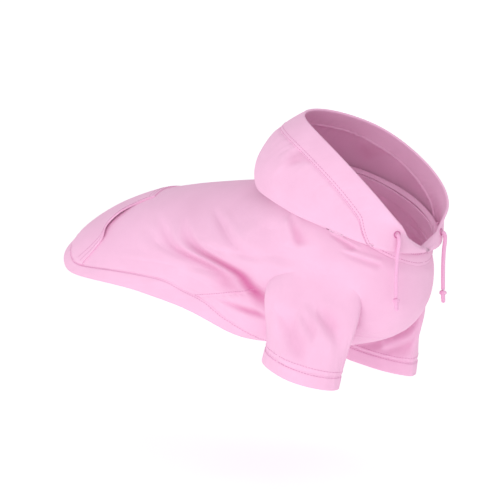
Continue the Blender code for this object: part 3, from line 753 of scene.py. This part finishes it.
def fleece():
    """Brushed pink fleece: a short soft pile as two bumps, a gentle mottle and a sheen.

    The bottoms of folds, marked on the mesh, are mixed towards a deeper, redder pink: painted shade for the
    shade and bounced pink light that gather in creases."""
    material, shader = new_material("pink_fleece", FLEECE_LIGHT, 0.95)
    tree = material.node_tree
    mottle = add_noise(tree, 26.0, 5.0, 0.55)
    tint = add_tint(tree, mottle, FLEECE_DARK, FLEECE_LIGHT, 0.25, 0.75)
    # Painted shade: mixes the fleece towards a deeper pink where the mesh marks fold bottoms.
    crease_shade = add_node(tree, "ShaderNodeAttribute", attribute_name="crease_shade")
    crease = add_node(tree, "ShaderNodeMix", data_type="RGBA")
    share_socket, plain_socket, shade_socket = crease.inputs[0], crease.inputs[6], crease.inputs[7]
    shade_socket.default_value = FLEECE_CREASE_SHADE
    tree.links.new(crease_shade.outputs["Fac"], share_socket)
    tree.links.new(tint, plain_socket)
    tree.links.new(crease.outputs[2], shader.inputs["Base Color"])
    pile = add_bump(tree, add_noise(tree, 1500.0, 3.0, 0.7), 0.30, 0.0002)
    tufts = add_bump(tree, add_noise(tree, 320.0, 3.0, 0.6), 0.22, 0.0005, pile)
    tree.links.new(tufts, shader.inputs["Normal"])
    shader.inputs["Sheen Weight"].default_value = 0.2
    shader.inputs["Sheen Roughness"].default_value = 0.6
    shader.inputs["Sheen Tint"].default_value = (1.0, 0.82, 0.92, 1)
    return material


def add_wall(obj, thickness):
    """Gives a sheet its thickness of cloth inwards from the surface that was made."""
    wall = obj.modifiers.new("cloth", "SOLIDIFY")
    wall.thickness = thickness
    wall.offset = -1


def take_place(obj, node=None):
    """The piece rides with the hoodie and, where a CAD node is named, is drawn in its place while that node
    is hidden.
    """
    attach(obj, "root")
    if node:
        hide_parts(node)


fleece_material = fleece()
shares, angles = body_grid()
middle_share = (shares[1:] + shares[:-1]) / 2
wrapped_angles = np.append(angles, math.pi)
middle_angle = np.degrees(np.abs(wrapped_angles[1:] + wrapped_angles[:-1]) / 2)
in_arm = (np.abs(middle_share - ARM_SHARE) < ARM_SHARE_REACH)[:, None] & (
    np.abs(middle_angle - ARM_ANGLE) < ARM_ANGLE_REACH
)
share, angle = round_armhole(*np.meshgrid(shares, angles, indexing="ij"))
in_panel = (middle_share > PANEL_SHARE)[:, None] & (middle_angle > PANEL_ANGLE)
_, body_crease_shade = body_lift(share, angle)
body_points = body_surface(share, angle)
body_faces = grid_faces(*share.shape, wrap_columns=True)
for name, cells in (("body", ~(in_arm | in_panel)), ("belly_panel", in_panel)):
    piece = add_mesh(
        name,
        body_points,
        body_faces[cells],
        fleece_material,
        lengths=np.stack([angle * BODY_HALF_WIDTH, share * BODY_RUN], -1),
        marks={"crease_shade": body_crease_shade},
    )
    add_wall(piece, CLOTH)
    take_place(piece, name)

# Hem: the rear edge and the belly's edge, turned under twice and stitched, so it is thicker and has a soft
# rounded lip. A row of lock stitch holds its upper edge, and one runs along each side of the belly panel.
HEM_CLOTH = 0.0030
HEM_PROUD = 0.0004
HEM_ROWS = 14
HEM_COLUMNS = 360
RIM_STEPS = 7
LOOSE_WAVE = 0.0004
PANEL_STITCH_STEP = 1.6
PANEL_STEPS = 60
STITCH_LENGTH = 0.0021
STITCH_PITCH = 0.0029
STITCH_RADIUS = 0.00034
STITCH_SIDES = 6
STITCH_RING_PLACES = (-1.0, -0.85, 0.0, 0.85, 1.0)
STITCH_RING_SIZES = (0.3, 0.8, 1.0, 0.8, 0.3)
SEAM_THREAD_DARK = (0.60, 0.22, 0.42, 1)
SEAM_THREAD_LIGHT = (0.76, 0.36, 0.58, 1)


def folded_band(points, normals, wall):
    """The closed skin of a turned band: its outer face, a half-round lip, its inner face and a second lip.

    The inner face lies a wall's thickness inwards, and each lip is a half circle round the wall's middle."""
    tangent_end = unit(points[-1] - points[-2])
    tangent_start = unit(points[0] - points[1])
    theta = np.linspace(0, math.pi, RIM_STEPS + 2)[1:-1, None, None]
    radius = wall / 2

    def lip(edge, normal, tangent):
        middle = edge - normal * radius
        return middle + normal * radius * np.cos(theta) + tangent * radius * np.sin(theta)

    inner = points - normals * wall
    end = lip(points[-1], normals[-1], tangent_end)
    start = lip(points[0], normals[0], tangent_start)[::-1]
    return np.concatenate([points, end, inner[::-1], start])


def grid_normals(points, wrap=True):
    """Outward normals of a grid of points: its slope round it crossed with its slope along it."""
    along = np.gradient(points, axis=0)
    if wrap:
        around = np.roll(points, -1, axis=1) - np.roll(points, 1, axis=1)
    else:
        around = np.gradient(points, axis=1)
    return unit(np.cross(around, along))


def band_lengths(band):
    """The UV map of a band: metres round it at its first row, and metres along each of its lines."""
    around = np.linalg.norm(np.roll(band, -1, axis=1) - band, axis=-1).mean(axis=0)
    along = np.linalg.norm(np.diff(band, axis=0, prepend=band[:1]), axis=-1)
    return np.stack([np.broadcast_to(np.cumsum(around), along.shape), np.cumsum(along, axis=0)], -1)


def add_band(name, points, wall, marks=None):
    """A turned band of fleece that closes on itself all round."""
    skin = folded_band(points, grid_normals(points), wall)
    mark = np.zeros(skin.shape[:2]) if marks is None else marks
    faces = grid_faces(*skin.shape[:2], wrap_columns=True, wrap_rows=True)
    return add_mesh(name, skin, faces, fleece_material, lengths=band_lengths(skin), marks={"crease_shade": mark})


def thread_material(name, dark, light):
    """Pink polyester thread between two tints, with a faint gloss and a twist as bump."""
    material, shader = new_material(name, light, 0.6)
    tree = material.node_tree
    twist = add_noise(tree, 2600.0, 2.0)
    tree.links.new(add_bump(tree, twist, 0.3, 0.0001), shader.inputs["Normal"])
    tree.links.new(add_tint(tree, twist, dark, light), shader.inputs["Base Color"])
    return material


def round_row(grid, index):
    """One row of a grid that closes on itself, with its first point again at its end."""
    return np.concatenate([grid[index], grid[index][:1]])


def ring_paths(points, normals, indices):
    """Rows of a grid that closes on itself as paths for stitches, each with its outward normals."""
    return [(round_row(points, i), round_row(normals, i)) for i in indices]


def add_stitches(name, rows):
    """Rows of lock stitch as one mesh. Each row is a path on the cloth with the outward normals along it.

    Every stitch is a capsule of five rings that lies half sunk in the cloth, one pitch after the last."""
    along = np.array(STITCH_RING_PLACES) * STITCH_LENGTH / 2
    size = np.array(STITCH_RING_SIZES) * STITCH_RADIUS
    around = np.linspace(0, 2 * math.pi, STITCH_SIDES, endpoint=False)
    shells = []
    for path, normals in rows:
        length = path_length(path)
        places = np.arange(STITCH_PITCH, length[-1] - STITCH_PITCH / 2, STITCH_PITCH)
        front = along_path(path, length, places + STITCH_LENGTH / 2)
        rear = along_path(path, length, places - STITCH_LENGTH / 2)
        ahead = unit(front - rear)
        side = unit(np.cross(along_path(normals, length, places), ahead))
        upward = np.cross(ahead, side)
        ring = np.cos(around)[:, None] * side[:, None] + np.sin(around)[:, None] * upward[:, None]
        middle = along_path(path, length, places)[:, None] + along[:, None] * ahead[:, None]
        shells.append(middle[:, :, None] + size[:, None, None] * ring[:, None])
    shells = np.concatenate(shells)
    count, ring_count, sides = shells.shape[:3]
    tube = grid_faces(ring_count, sides, wrap_columns=True).reshape(-1, 4)
    cap = np.array([[0, 1, 2, 3], [0, 3, 4, 5]])
    one = np.concatenate([tube, cap[:, ::-1], cap + (ring_count - 1) * sides])
    faces = one[None] + (np.arange(count) * ring_count * sides)[:, None, None]
    stitches = add_mesh(name, shells, faces, seam_thread)
    take_place(stitches)


seam_thread = thread_material("seam_thread", SEAM_THREAD_DARK, SEAM_THREAD_LIGHT)
hem_angles = np.linspace(-math.pi, math.pi, HEM_COLUMNS, endpoint=False)
hem_steps = np.linspace(0, 1, HEM_ROWS)[:, None]
hem_seam = hem_row(hem_angles, HEM_WIDTH)
hem_rows = hem_seam * (1 - hem_steps) + hem_row(hem_angles) * hem_steps
hem_angle = np.broadcast_to(hem_angles, hem_rows.shape)
hem_plain = body_ring(hem_rows, hem_angle)
hem_y = hem_angle * BODY_HALF_WIDTH
hem_folds, _ = body_folds(hem_rows / hem_seam, hem_angle)
hem_out = (
    hem_folds
    + HEM_PROUD
    + seam_pucker(hem_steps * HEM_WIDTH, hem_y)
    + LOOSE_WAVE * hem_steps * np.sin(hem_y * 118 + 1.2 * np.sin(hem_y * 43))
)
hem_normals = grid_normals(hem_plain)
hem_points = hem_plain + hem_normals * hem_out[..., None]
hem = add_band("hem_band", hem_points, HEM_CLOTH)
take_place(hem, "hem_band")
add_stitches("hem_stitches", ring_paths(hem_points, hem_normals, (1,)))
panel_share = np.linspace(PANEL_SHARE, 1, PANEL_STEPS)
panel_rows = []
for side in (-1, 1):
    panel_angle = np.full(panel_share.shape, side * math.radians(PANEL_ANGLE - PANEL_STITCH_STEP))
    panel_path = body_surface(panel_share, panel_angle)
    panel_rows.append((panel_path, surface_normal(body_plain, panel_share, panel_angle)))
add_stitches("panel_stitches", panel_rows)

# Pocket: one panel of the same fleece laid on the rear of the back. Two rows of stitches run along its front
# edge and its sides, and the slanting edge on each side stands open a little as a hand slit.
POCKET_LINE = (
    # share, half_angle
    (0.655, 22),
    (0.727, 28),
    (0.785, 40),
    (0.810, 51),
    (0.855, 58),
    (0.905, 63),
    (0.985, 68),
)
POCKET_ROWS = 90
POCKET_COLUMNS = 140
POCKET_LIFT = -0.0003
POCKET_CLOTH = 0.8 * CLOTH
POCKET_PUFF = 0.0012
POCKET_GAPE = 0.0036
POCKET_SLIT_ROW = 0.37
POCKET_SLIT_REACH = 0.17
POCKET_STITCH_INSETS = (2, 5)

pocket_place = np.linspace(0, len(POCKET_LINE) - 1, POCKET_ROWS)
pocket_line = smooth_rows(POCKET_LINE, pocket_place)
pocket_across = np.linspace(-1, 1, POCKET_COLUMNS)
pocket_share = np.broadcast_to(pocket_line[:, :1], (POCKET_ROWS, POCKET_COLUMNS))
pocket_angle = np.radians(pocket_line[:, 1:]) * pocket_across
pocket_rows = pocket_place / pocket_place[-1]
slit = np.exp(-(((pocket_rows - POCKET_SLIT_ROW) / POCKET_SLIT_REACH) ** 4))[:, None]
pillow = np.sqrt(np.clip(1 - pocket_across**6, 0, 1)) * np.sqrt(np.sin(math.pi * pocket_rows))[:, None]
pocket_gape = POCKET_GAPE * slit * np.abs(pocket_across) ** 8
pocket_out = POCKET_LIFT + POCKET_CLOTH + POCKET_PUFF * pillow + pocket_gape
pocket_points = body_surface(pocket_share, pocket_angle, pocket_out)
pocket = add_mesh(
    "pocket",
    pocket_points,
    grid_faces(POCKET_ROWS, POCKET_COLUMNS),
    fleece_material,
    lengths=np.stack([pocket_angle * BODY_HALF_WIDTH, pocket_share * BODY_RUN], -1),
    marks={"crease_shade": np.zeros(pocket_share.shape)},
)
add_wall(pocket, POCKET_CLOTH)
take_place(pocket, "pocket")
pocket_normals = surface_normal(body_plain, pocket_share, pocket_angle)
pocket_paths = []
for inset in POCKET_STITCH_INSETS:
    cut = slice(inset, -inset)
    pocket_paths.append((inset, cut))
    pocket_paths.append((cut, inset))
    pocket_paths.append((cut, -inset - 1))
pocket_stitch_rows = [(pocket_points[path], pocket_normals[path]) for path in pocket_paths]
add_stitches("pocket_stitches", pocket_stitch_rows)

# Hood: two shaped panels of fleece, folded back off the head so that it rolls over the neck seam and hangs on
# the shoulders. It is soft, with a few short dents where it bends.
HOOD_LENGTH = 0.160
HOOD_HEIGHT = 0.073
HOOD_HALF_WIDTH = 0.0755
HOOD_SQUARE = 0.03
CASING_WIDTH = 0.0290
VEE_DROP = 0.013
VEE_HALF_WIDTH = 0.040
VEE_PLACE = 0.45
VEE_REACH = 0.30
HOOD_RINGS = (
    # back_x, back_z, side_x, side_z, half_width, front_x, front_z
    (0.088, 0.120, 0.556, -0.080, 0.800, 1.022, -0.720),
    (0.022, 0.150, 0.525, -0.030, 0.890, 1.038, -0.705),
    (-0.045, 0.060, 0.500, -0.275, 0.973, 1.050, -0.720),
    (-0.070, 0.220, 0.500, -0.120, 1.000, 1.056, -0.680),
    (-0.050, 0.450, 0.538, 0.070, 0.967, 1.053, -0.560),
    (0.038, 0.740, 0.644, 0.220, 0.887, 1.038, -0.500),
    (0.219, 1.000, 0.812, 0.300, 0.795, 1.012, -0.480),
)
HOOD_RUN = 0.085
HOOD_CLOTH = 0.0012
HOOD_SWELL = 1.3
HOOD_SWELL_START = 0.3
CASING_SIDE_RUN = 1.4 * HOOD_RUN
HOOD_FOLDS = (
    # side, place_0, angle_0, place_1, angle_1, place_2, angle_2, width, depth, lean, painted crease shade
    (-1, 0.866, 57, 0.850, 62, 0.768, 72, 0.0042, 0.0015, 0.3, 0.22),
    (-1, 0.640, 62, 0.600, 80, 0.560, 98, 0.0130, 0.0010, 0.2, 0.00),
    (-1, 0.500, 40, 0.450, 60, 0.440, 84, 0.0120, 0.0009, 0.3, 0.00),
    (1, 0.860, 58, 0.820, 64, 0.740, 76, 0.0060, 0.0014, 0.5, 0.20),
    (1, 0.600, 50, 0.560, 74, 0.520, 96, 0.0120, 0.0012, 0.3, 0.00),
)
HOOD_ROWS = 110
HOOD_COLUMNS = 300
HOOD_POINT_ANGLE = 146.25
HOOD_POINT_REACH = 26
CASING_ROWS = 46
CASING_COLUMNS = 420
CASING_CLOTH = 0.0026
CASING_PUFF = 0.0007
CASING_STITCH_ROWS = (-3, -8)


def hood_plain(place, angle):
    """The hood's outer surface without its dents. Place 0 is the neck seam and 1 the free edge.

    At the throat the free edge dips in a vee."""
    table = smooth_rows(HOOD_RINGS, place * (len(HOOD_RINGS) - 1))
    flat = np.array([HOOD_LENGTH, HOOD_HEIGHT])
    points = ring_points(
        table[..., 0:2] * flat,
        table[..., 2:4] * flat,
        table[..., 5:7] * flat,
        table[..., 4] * HOOD_HALF_WIDTH,
        np.full(table.shape[:-1], HOOD_SQUARE),
        angle,
    )
    vee = np.maximum(0, 1 - np.abs(points[..., 1]) / VEE_HALF_WIDTH) * (np.abs(angle) > math.pi / 2)
    points[..., 2] -= VEE_DROP * vee * smooth_step((place - VEE_PLACE) / VEE_REACH)
    return points


def hood_lift(place, angle):
    """The dents of both sides of the hood, and a soft swell all over it."""
    lift, crease_shade = folds_both_sides(HOOD_FOLDS, place, angle, HOOD_RUN, HOOD_HALF_WIDTH)
    swell = HOOD_SWELL * slow_waves(place * HOOD_RUN + HOOD_SWELL_START, angle * HOOD_HALF_WIDTH)
    return lift + swell, crease_shade


def hood_normal(place, angle):
    """The hood's normal on the side that is seen from outside."""
    return -surface_normal(hood_plain, place, angle)


def casing_place(angle, width=CASING_WIDTH):
    """The place on the hood one casing's width from its free edge, running down to the neck seam in front."""
    places = np.linspace(0, 1, 121)
    line = hood_plain(places[:, None], angle[None, :])
    steps = np.linalg.norm(np.diff(line, axis=0), axis=-1)
    from_edge = np.cumsum(steps[::-1], axis=0)[::-1]
    from_edge = np.concatenate([from_edge, np.zeros((1, len(angle)))])
    start = np.array([np.interp(-width, -from_edge[:, i], places) for i in range(len(angle))])
    front = 1 - (math.radians(HOOD_POINT_ANGLE) - np.abs(angle)) / math.radians(HOOD_POINT_REACH)
    return start * (1 - smooth_step(front))


hood_angles = np.linspace(-1, 1, HOOD_COLUMNS) * math.radians(HOOD_POINT_ANGLE)
hood_end = casing_place(hood_angles)
hood_place = hood_end[None] * np.linspace(1, 0, HOOD_ROWS)[:, None]
hood_angle = np.broadcast_to(hood_angles, hood_place.shape)
hood_out, hood_crease_shade = hood_lift(hood_place, hood_angle)
casing_away = (hood_end[None] - hood_place) * CASING_SIDE_RUN
hood_out = hood_out + seam_pucker(casing_away, hood_angle * HOOD_HALF_WIDTH)
hood = add_mesh(
    "hood",
    hood_plain(hood_place, hood_angle) + hood_normal(hood_place, hood_angle) * hood_out[..., None],
    grid_faces(HOOD_ROWS, HOOD_COLUMNS),
    fleece_material,
    lengths=np.stack([hood_angle * HOOD_HALF_WIDTH, hood_place * HOOD_RUN], -1),
    marks={"crease_shade": hood_crease_shade},
)
add_wall(hood, HOOD_CLOTH)
take_place(hood, "hood")

# Casing: the hood's front edge turned in and stitched down, the channel that the drawcord runs through. It is
# slightly puffed, with a rounded free edge.
casing_angles = np.linspace(-math.pi, math.pi, CASING_COLUMNS, endpoint=False)
casing_start = casing_place(casing_angles)
casing_steps = np.linspace(1, 0, CASING_ROWS)[:, None]
casing_rows = casing_start + (1 - casing_start) * casing_steps
casing_angle = np.broadcast_to(casing_angles, casing_rows.shape)
casing_out, _ = hood_lift(casing_rows, casing_angle)
casing_y = casing_angle * HOOD_HALF_WIDTH
puff = CASING_PUFF * np.sin(math.pi * np.clip(casing_steps, 0, 1)) ** 0.8
casing_out = casing_out + puff + seam_pucker(casing_steps * CASING_WIDTH, casing_y)
casing_plain = hood_plain(casing_rows, casing_angle)
casing_points = casing_plain + hood_normal(casing_rows, casing_angle) * casing_out[..., None]
casing = add_band("hood_casing", casing_points, CASING_CLOTH)
take_place(casing, "hood_casing")
casing_normals = hood_normal(casing_rows, casing_angle)
add_stitches("casing_stitches", ring_paths(casing_points, casing_normals, CASING_STITCH_ROWS))

# Eyelets: small worked holes near the lower ends of the casing, each a ring of buttonhole stitches in darker
# pink thread round the cord.
EYELET_RADIUS = 0.0030
EYELET_THREAD = 0.0012
EYELET_PLACE = 0.71
EYELET_ANGLES = {"right": -149, "left": 157}
EYELET_LIFT = 0.0004
EYELET_STITCHES = 22


thread = thread_material("eyelet_thread", (0.50, 0.12, 0.30, 1), (0.72, 0.24, 0.47, 1))
for side_name, degrees in EYELET_ANGLES.items():
    spot, turn_angle = np.array([EYELET_PLACE]), np.array([math.radians(degrees)])
    out = hood_normal(spot, turn_angle)[0]
    centre = hood_plain(spot, turn_angle)[0] + out * EYELET_LIFT
    across = unit(np.cross(out, [0.0, 0.0, 1.0]))
    upward = np.cross(across, out)
    ring = np.linspace(0, 2 * math.pi, EYELET_STITCHES * 6, endpoint=False)[:, None]
    tube = np.linspace(0, 2 * math.pi, 12, endpoint=False)[None, :]
    swell = 1 + 0.22 * np.abs(np.sin(ring * EYELET_STITCHES / 2))
    reach = EYELET_RADIUS + EYELET_THREAD / 2 * swell * np.cos(tube)
    height = EYELET_THREAD / 2 * swell * np.sin(tube)
    skin = (
        centre
        + (reach * np.cos(ring))[..., None] * across
        + (reach * np.sin(ring))[..., None] * upward
        + height[..., None] * out
    )
    faces = grid_faces(*skin.shape[:2], wrap_columns=True, wrap_rows=True)
    eyelet = add_mesh("eyelet_" + side_name, skin, faces, thread)
    take_place(eyelet, "eyelet_" + side_name)

# Neck band: the strip of cloth that covers the neck seam, between the main tube and the hood, stitched down
# along both of its edges. It shows only on the chest, and lies sunk under the hood's roll elsewhere.
NECK_BAND_CLOTH = 0.0016
NECK_BAND_PROUD = 0.0006
NECK_SHOWN_FROM = 118
NECK_SHOWN_RISE = 16
NECK_SINK = 0.0012
NECK_ROWS = 12
NECK_COLUMNS = 360
NECK_STITCH_ROWS = (2, -3)

neck_angles = np.linspace(-math.pi, math.pi, NECK_COLUMNS, endpoint=False)
neck_low = body_plain(np.zeros(neck_angles.shape), neck_angles)
neck_high = hood_plain(np.zeros(neck_angles.shape), neck_angles)
neck_steps = np.linspace(0, 1, NECK_ROWS)[:, None, None]
neck_points = neck_high * (1 - neck_steps) + neck_low * neck_steps
neck_degrees = np.degrees(np.abs(neck_angles))
in_front = smooth_step((neck_degrees - NECK_SHOWN_FROM) / NECK_SHOWN_RISE)[None, :, None]
neck_swell = NECK_BAND_PROUD * np.sin(math.pi * neck_steps) * in_front - NECK_SINK * (1 - in_front)
neck_points = neck_points + grid_normals(neck_points) * neck_swell
neck_band = add_band("neck_band", neck_points, NECK_BAND_CLOTH)
take_place(neck_band, "neck_band")
neck_normals = grid_normals(neck_points)
add_stitches("neck_stitches", ring_paths(neck_points, neck_normals, NECK_STITCH_ROWS))

# Sleeves: short tubes of fleece set into the armholes. Slanting folds run round them from the shoulder to the
# front, and a row of stitches a little above the cuff holds its turned edge.
CUFF_HALF_LENGTH = 0.0420
CUFF_HALF_WIDTH = 0.0310
CUFF_INNER_SHARE = 0.4
CUFF_CENTRES = {"right": (0.189, 0.815, -1.020), "left": (0.180, 0.830, -1.115)}
CUFF_TILTS = {"right": math.radians(15), "left": math.radians(8)}
SIDES = {"right": -1, "left": 1}
SLEEVE_FLARE = 1.0
SLEEVE_FOLLOW = 0.7
SLEEVE_ROWS = 70
SLEEVE_STITCH_ROW = -5
ARM_INNER_SHARE = 0.9
SLEEVE_RUN = 0.055
SLEEVE_STILL = 0.25
SLEEVE_FOLDS = (
    # side, t_0, turn_0, t_1, turn_1, t_2, turn_2, width, depth, lean, painted crease shade
    (-1, 0.378, 133, 0.718, 115, 0.880, 58, 0.0055, 0.0030, 0.3, 0.15),
    (-1, 0.450, 104, 0.524, 72, 0.650, 54, 0.0040, 0.0020, 0.3, 0.10),
    (-1, 0.340, 72, 0.445, 46, 0.540, 14, 0.0040, 0.0024, 0.3, 0.15),
    (-1, 0.300, 112, 0.430, 40, 0.650, 2, 0.0060, 0.0014, 0.3, 0.05),
    (1, 0.908, -122, 0.859, -89, 0.714, -79, 0.0045, 0.0018, 0.3, 0.20),
    (1, 0.933, -81, 0.790, -59, 0.706, -21, 0.0045, 0.0018, 0.3, 0.20),
    (1, 0.765, -96, 0.474, -80, 0.387, -31, 0.0050, 0.0016, 0.3, 0.15),
)


def armhole_ring(side, shrink):
    """The armhole's edge, a point for each grid line that meets it, drawn in towards its centre."""
    grid_shares, grid_angles = body_grid()
    p = (grid_shares - ARM_SHARE) / ARM_SHARE_REACH
    q = (np.degrees(grid_angles) - ARM_ANGLE) / ARM_ANGLE_REACH
    p = p[np.abs(p) < 1 + 1e-6]
    q = q[np.abs(q) < 1 + 1e-6]
    side_q, side_p = np.ones(len(q) - 1), np.ones(len(p) - 1)
    loop_p = np.concatenate([p[:-1], side_q, p[:0:-1], -side_q])
    loop_q = np.concatenate([-side_p, q[:-1], side_p, q[:0:-1]])
    size = np.hypot(loop_p, loop_q)
    ring_share = ARM_SHARE + loop_p / size * shrink * ARM_SHARE_REACH
    ring_angle = math.radians(ARM_ANGLE) + loop_q / size * shrink * math.radians(ARM_ANGLE_REACH)
    return body_surface(ring_share, side * ring_angle)


def cuff_frame(name):
    """The centre of the cuff's seam, its forward and outward directions and the sleeve's own direction."""
    share_x, share_y, share_z = CUFF_CENTRES[name]
    side, tilt = SIDES[name], CUFF_TILTS[name]
    centre = np.array([share_x * BODY_LENGTH, side * share_y * BODY_HALF_WIDTH, share_z * BODY_DEPTH])
    down = np.array([-math.sin(tilt), 0.0, -math.cos(tilt)])
    ahead = np.array([math.cos(tilt), 0.0, -math.sin(tilt)])
    return centre, ahead, np.array([0.0, side, 0.0]), down


def sleeve_lines(name, steps):
    """Rings from the armhole to the cuff's seam: cubic lines that leave the body along its cloth, or down
    the sleeve, and come to the cuff along the sleeve's own direction. The second result is the turn round the
    cuff."""
    side = SIDES[name]
    ring = armhole_ring(side, 1.0)
    inner = armhole_ring(side, ARM_INNER_SHARE)
    centre, ahead, outward, down = cuff_frame(name)
    middle = (ring.max(axis=0) + ring.min(axis=0)) / 2
    axis = (centre - middle) / np.linalg.norm(centre - middle)
    inwards = unit(inner - ring)
    along = smooth_step((inwards @ axis) / SLEEVE_FOLLOW)[:, None]
    turn_out = unit(np.cross(np.roll(ring, -1, axis=0) - np.roll(ring, 1, axis=0), inwards))
    turn_out *= np.sign((turn_out * (ring - ring.mean(axis=0) * [1, 0, 1])).sum(axis=1).sum())
    leave = unit(inwards * along + (axis + SLEEVE_FLARE * turn_out) * (1 - along))
    half = (ring.max(axis=0) - ring.min(axis=0)) / 2
    bearing = np.arctan2((ring - middle)[:, 2] / half[2], (ring - middle)[:, 0] / half[0])
    width_share = np.maximum(np.sin(bearing), CUFF_INNER_SHARE * np.sin(bearing))
    end = (
        centre
        + CUFF_HALF_LENGTH * np.cos(bearing)[:, None] * ahead
        + CUFF_HALF_WIDTH * width_share[:, None] * outward
    )
    reach = np.linalg.norm(end - ring, axis=1, keepdims=True)
    t = steps[:, None, None]
    points = (
        ring * (2 * t**3 - 3 * t**2 + 1)
        + leave * reach * (t**3 - 2 * t**2 + t)
        + end * (3 * t**2 - 2 * t**3)
        + down * reach * (t**3 - t**2)
    )
    if side < 0:
        return points, bearing
    return points[:, ::-1], bearing[::-1]


def sleeve_relief(name, steps, bearing):
    """The folds of a sleeve at steps down it and a bearing round it, and the ripples at its cuff's seam."""
    folds = folds_of_side(SLEEVE_FOLDS, SIDES[name], SLEEVE_RUN, CUFF_HALF_LENGTH)
    lift, crease_shade = fold_lift(folds, steps * SLEEVE_RUN, bearing * CUFF_HALF_LENGTH)
    still = smooth_step(steps / SLEEVE_STILL)
    lift = lift * still + seam_pucker((1 - steps) * SLEEVE_RUN, bearing * CUFF_HALF_LENGTH)
    return lift, crease_shade * still


sleeve_steps = np.linspace(0, 1, SLEEVE_ROWS)
for side_name in SIDES:
    points, bearing = sleeve_lines(side_name, sleeve_steps)
    steps_grid, bearing_grid = np.meshgrid(sleeve_steps, bearing, indexing="ij")
    lift, crease_shade = sleeve_relief(side_name, steps_grid, bearing_grid)
    points = points + grid_normals(points) * lift[..., None]
    sleeve = add_mesh(
        "sleeve_" + side_name,
        points,
        grid_faces(*points.shape[:2], wrap_columns=True),
        fleece_material,
        lengths=np.stack([bearing_grid * CUFF_HALF_LENGTH, steps_grid * SLEEVE_RUN], -1),
        marks={"crease_shade": crease_shade},
    )
    add_wall(sleeve, CLOTH)
    take_place(sleeve, "sleeve_" + side_name)
    sleeve_rows = ring_paths(points, grid_normals(points), (SLEEVE_STITCH_ROW,))
    add_stitches("sleeve_stitches_" + side_name, sleeve_rows)

# Cuffs: the sleeve ends, turned under and stitched, thicker than the sleeve and with a rounded lip.
CUFF_WIDTH = 0.0125
CUFF_CLOTH = 0.0028
CUFF_PROUD = 0.0004
CUFF_ROWS = 12

for side_name in SIDES:
    end, bearing = sleeve_lines(side_name, np.array([1.0]))
    centre, _, _, down = cuff_frame(side_name)
    away = unit(end[0] - centre)
    cuff_steps = np.linspace(0, 1, CUFF_ROWS)[:, None]
    drop = cuff_steps * CUFF_WIDTH
    cuff_out = CUFF_PROUD + seam_pucker(drop, bearing * CUFF_HALF_LENGTH)
    cuff_out = cuff_out + LOOSE_WAVE * cuff_steps * np.sin(bearing * 5 + 1.0)
    points = end + away * cuff_out[..., None] + down * drop[..., None]
    cuff = add_band("cuff_" + side_name, points, CUFF_CLOTH)
    take_place(cuff, "cuff_" + side_name)
    cuff_normals = grid_normals(points)
    add_stitches("cuff_stitches_" + side_name, ring_paths(points, cuff_normals, (1,)))
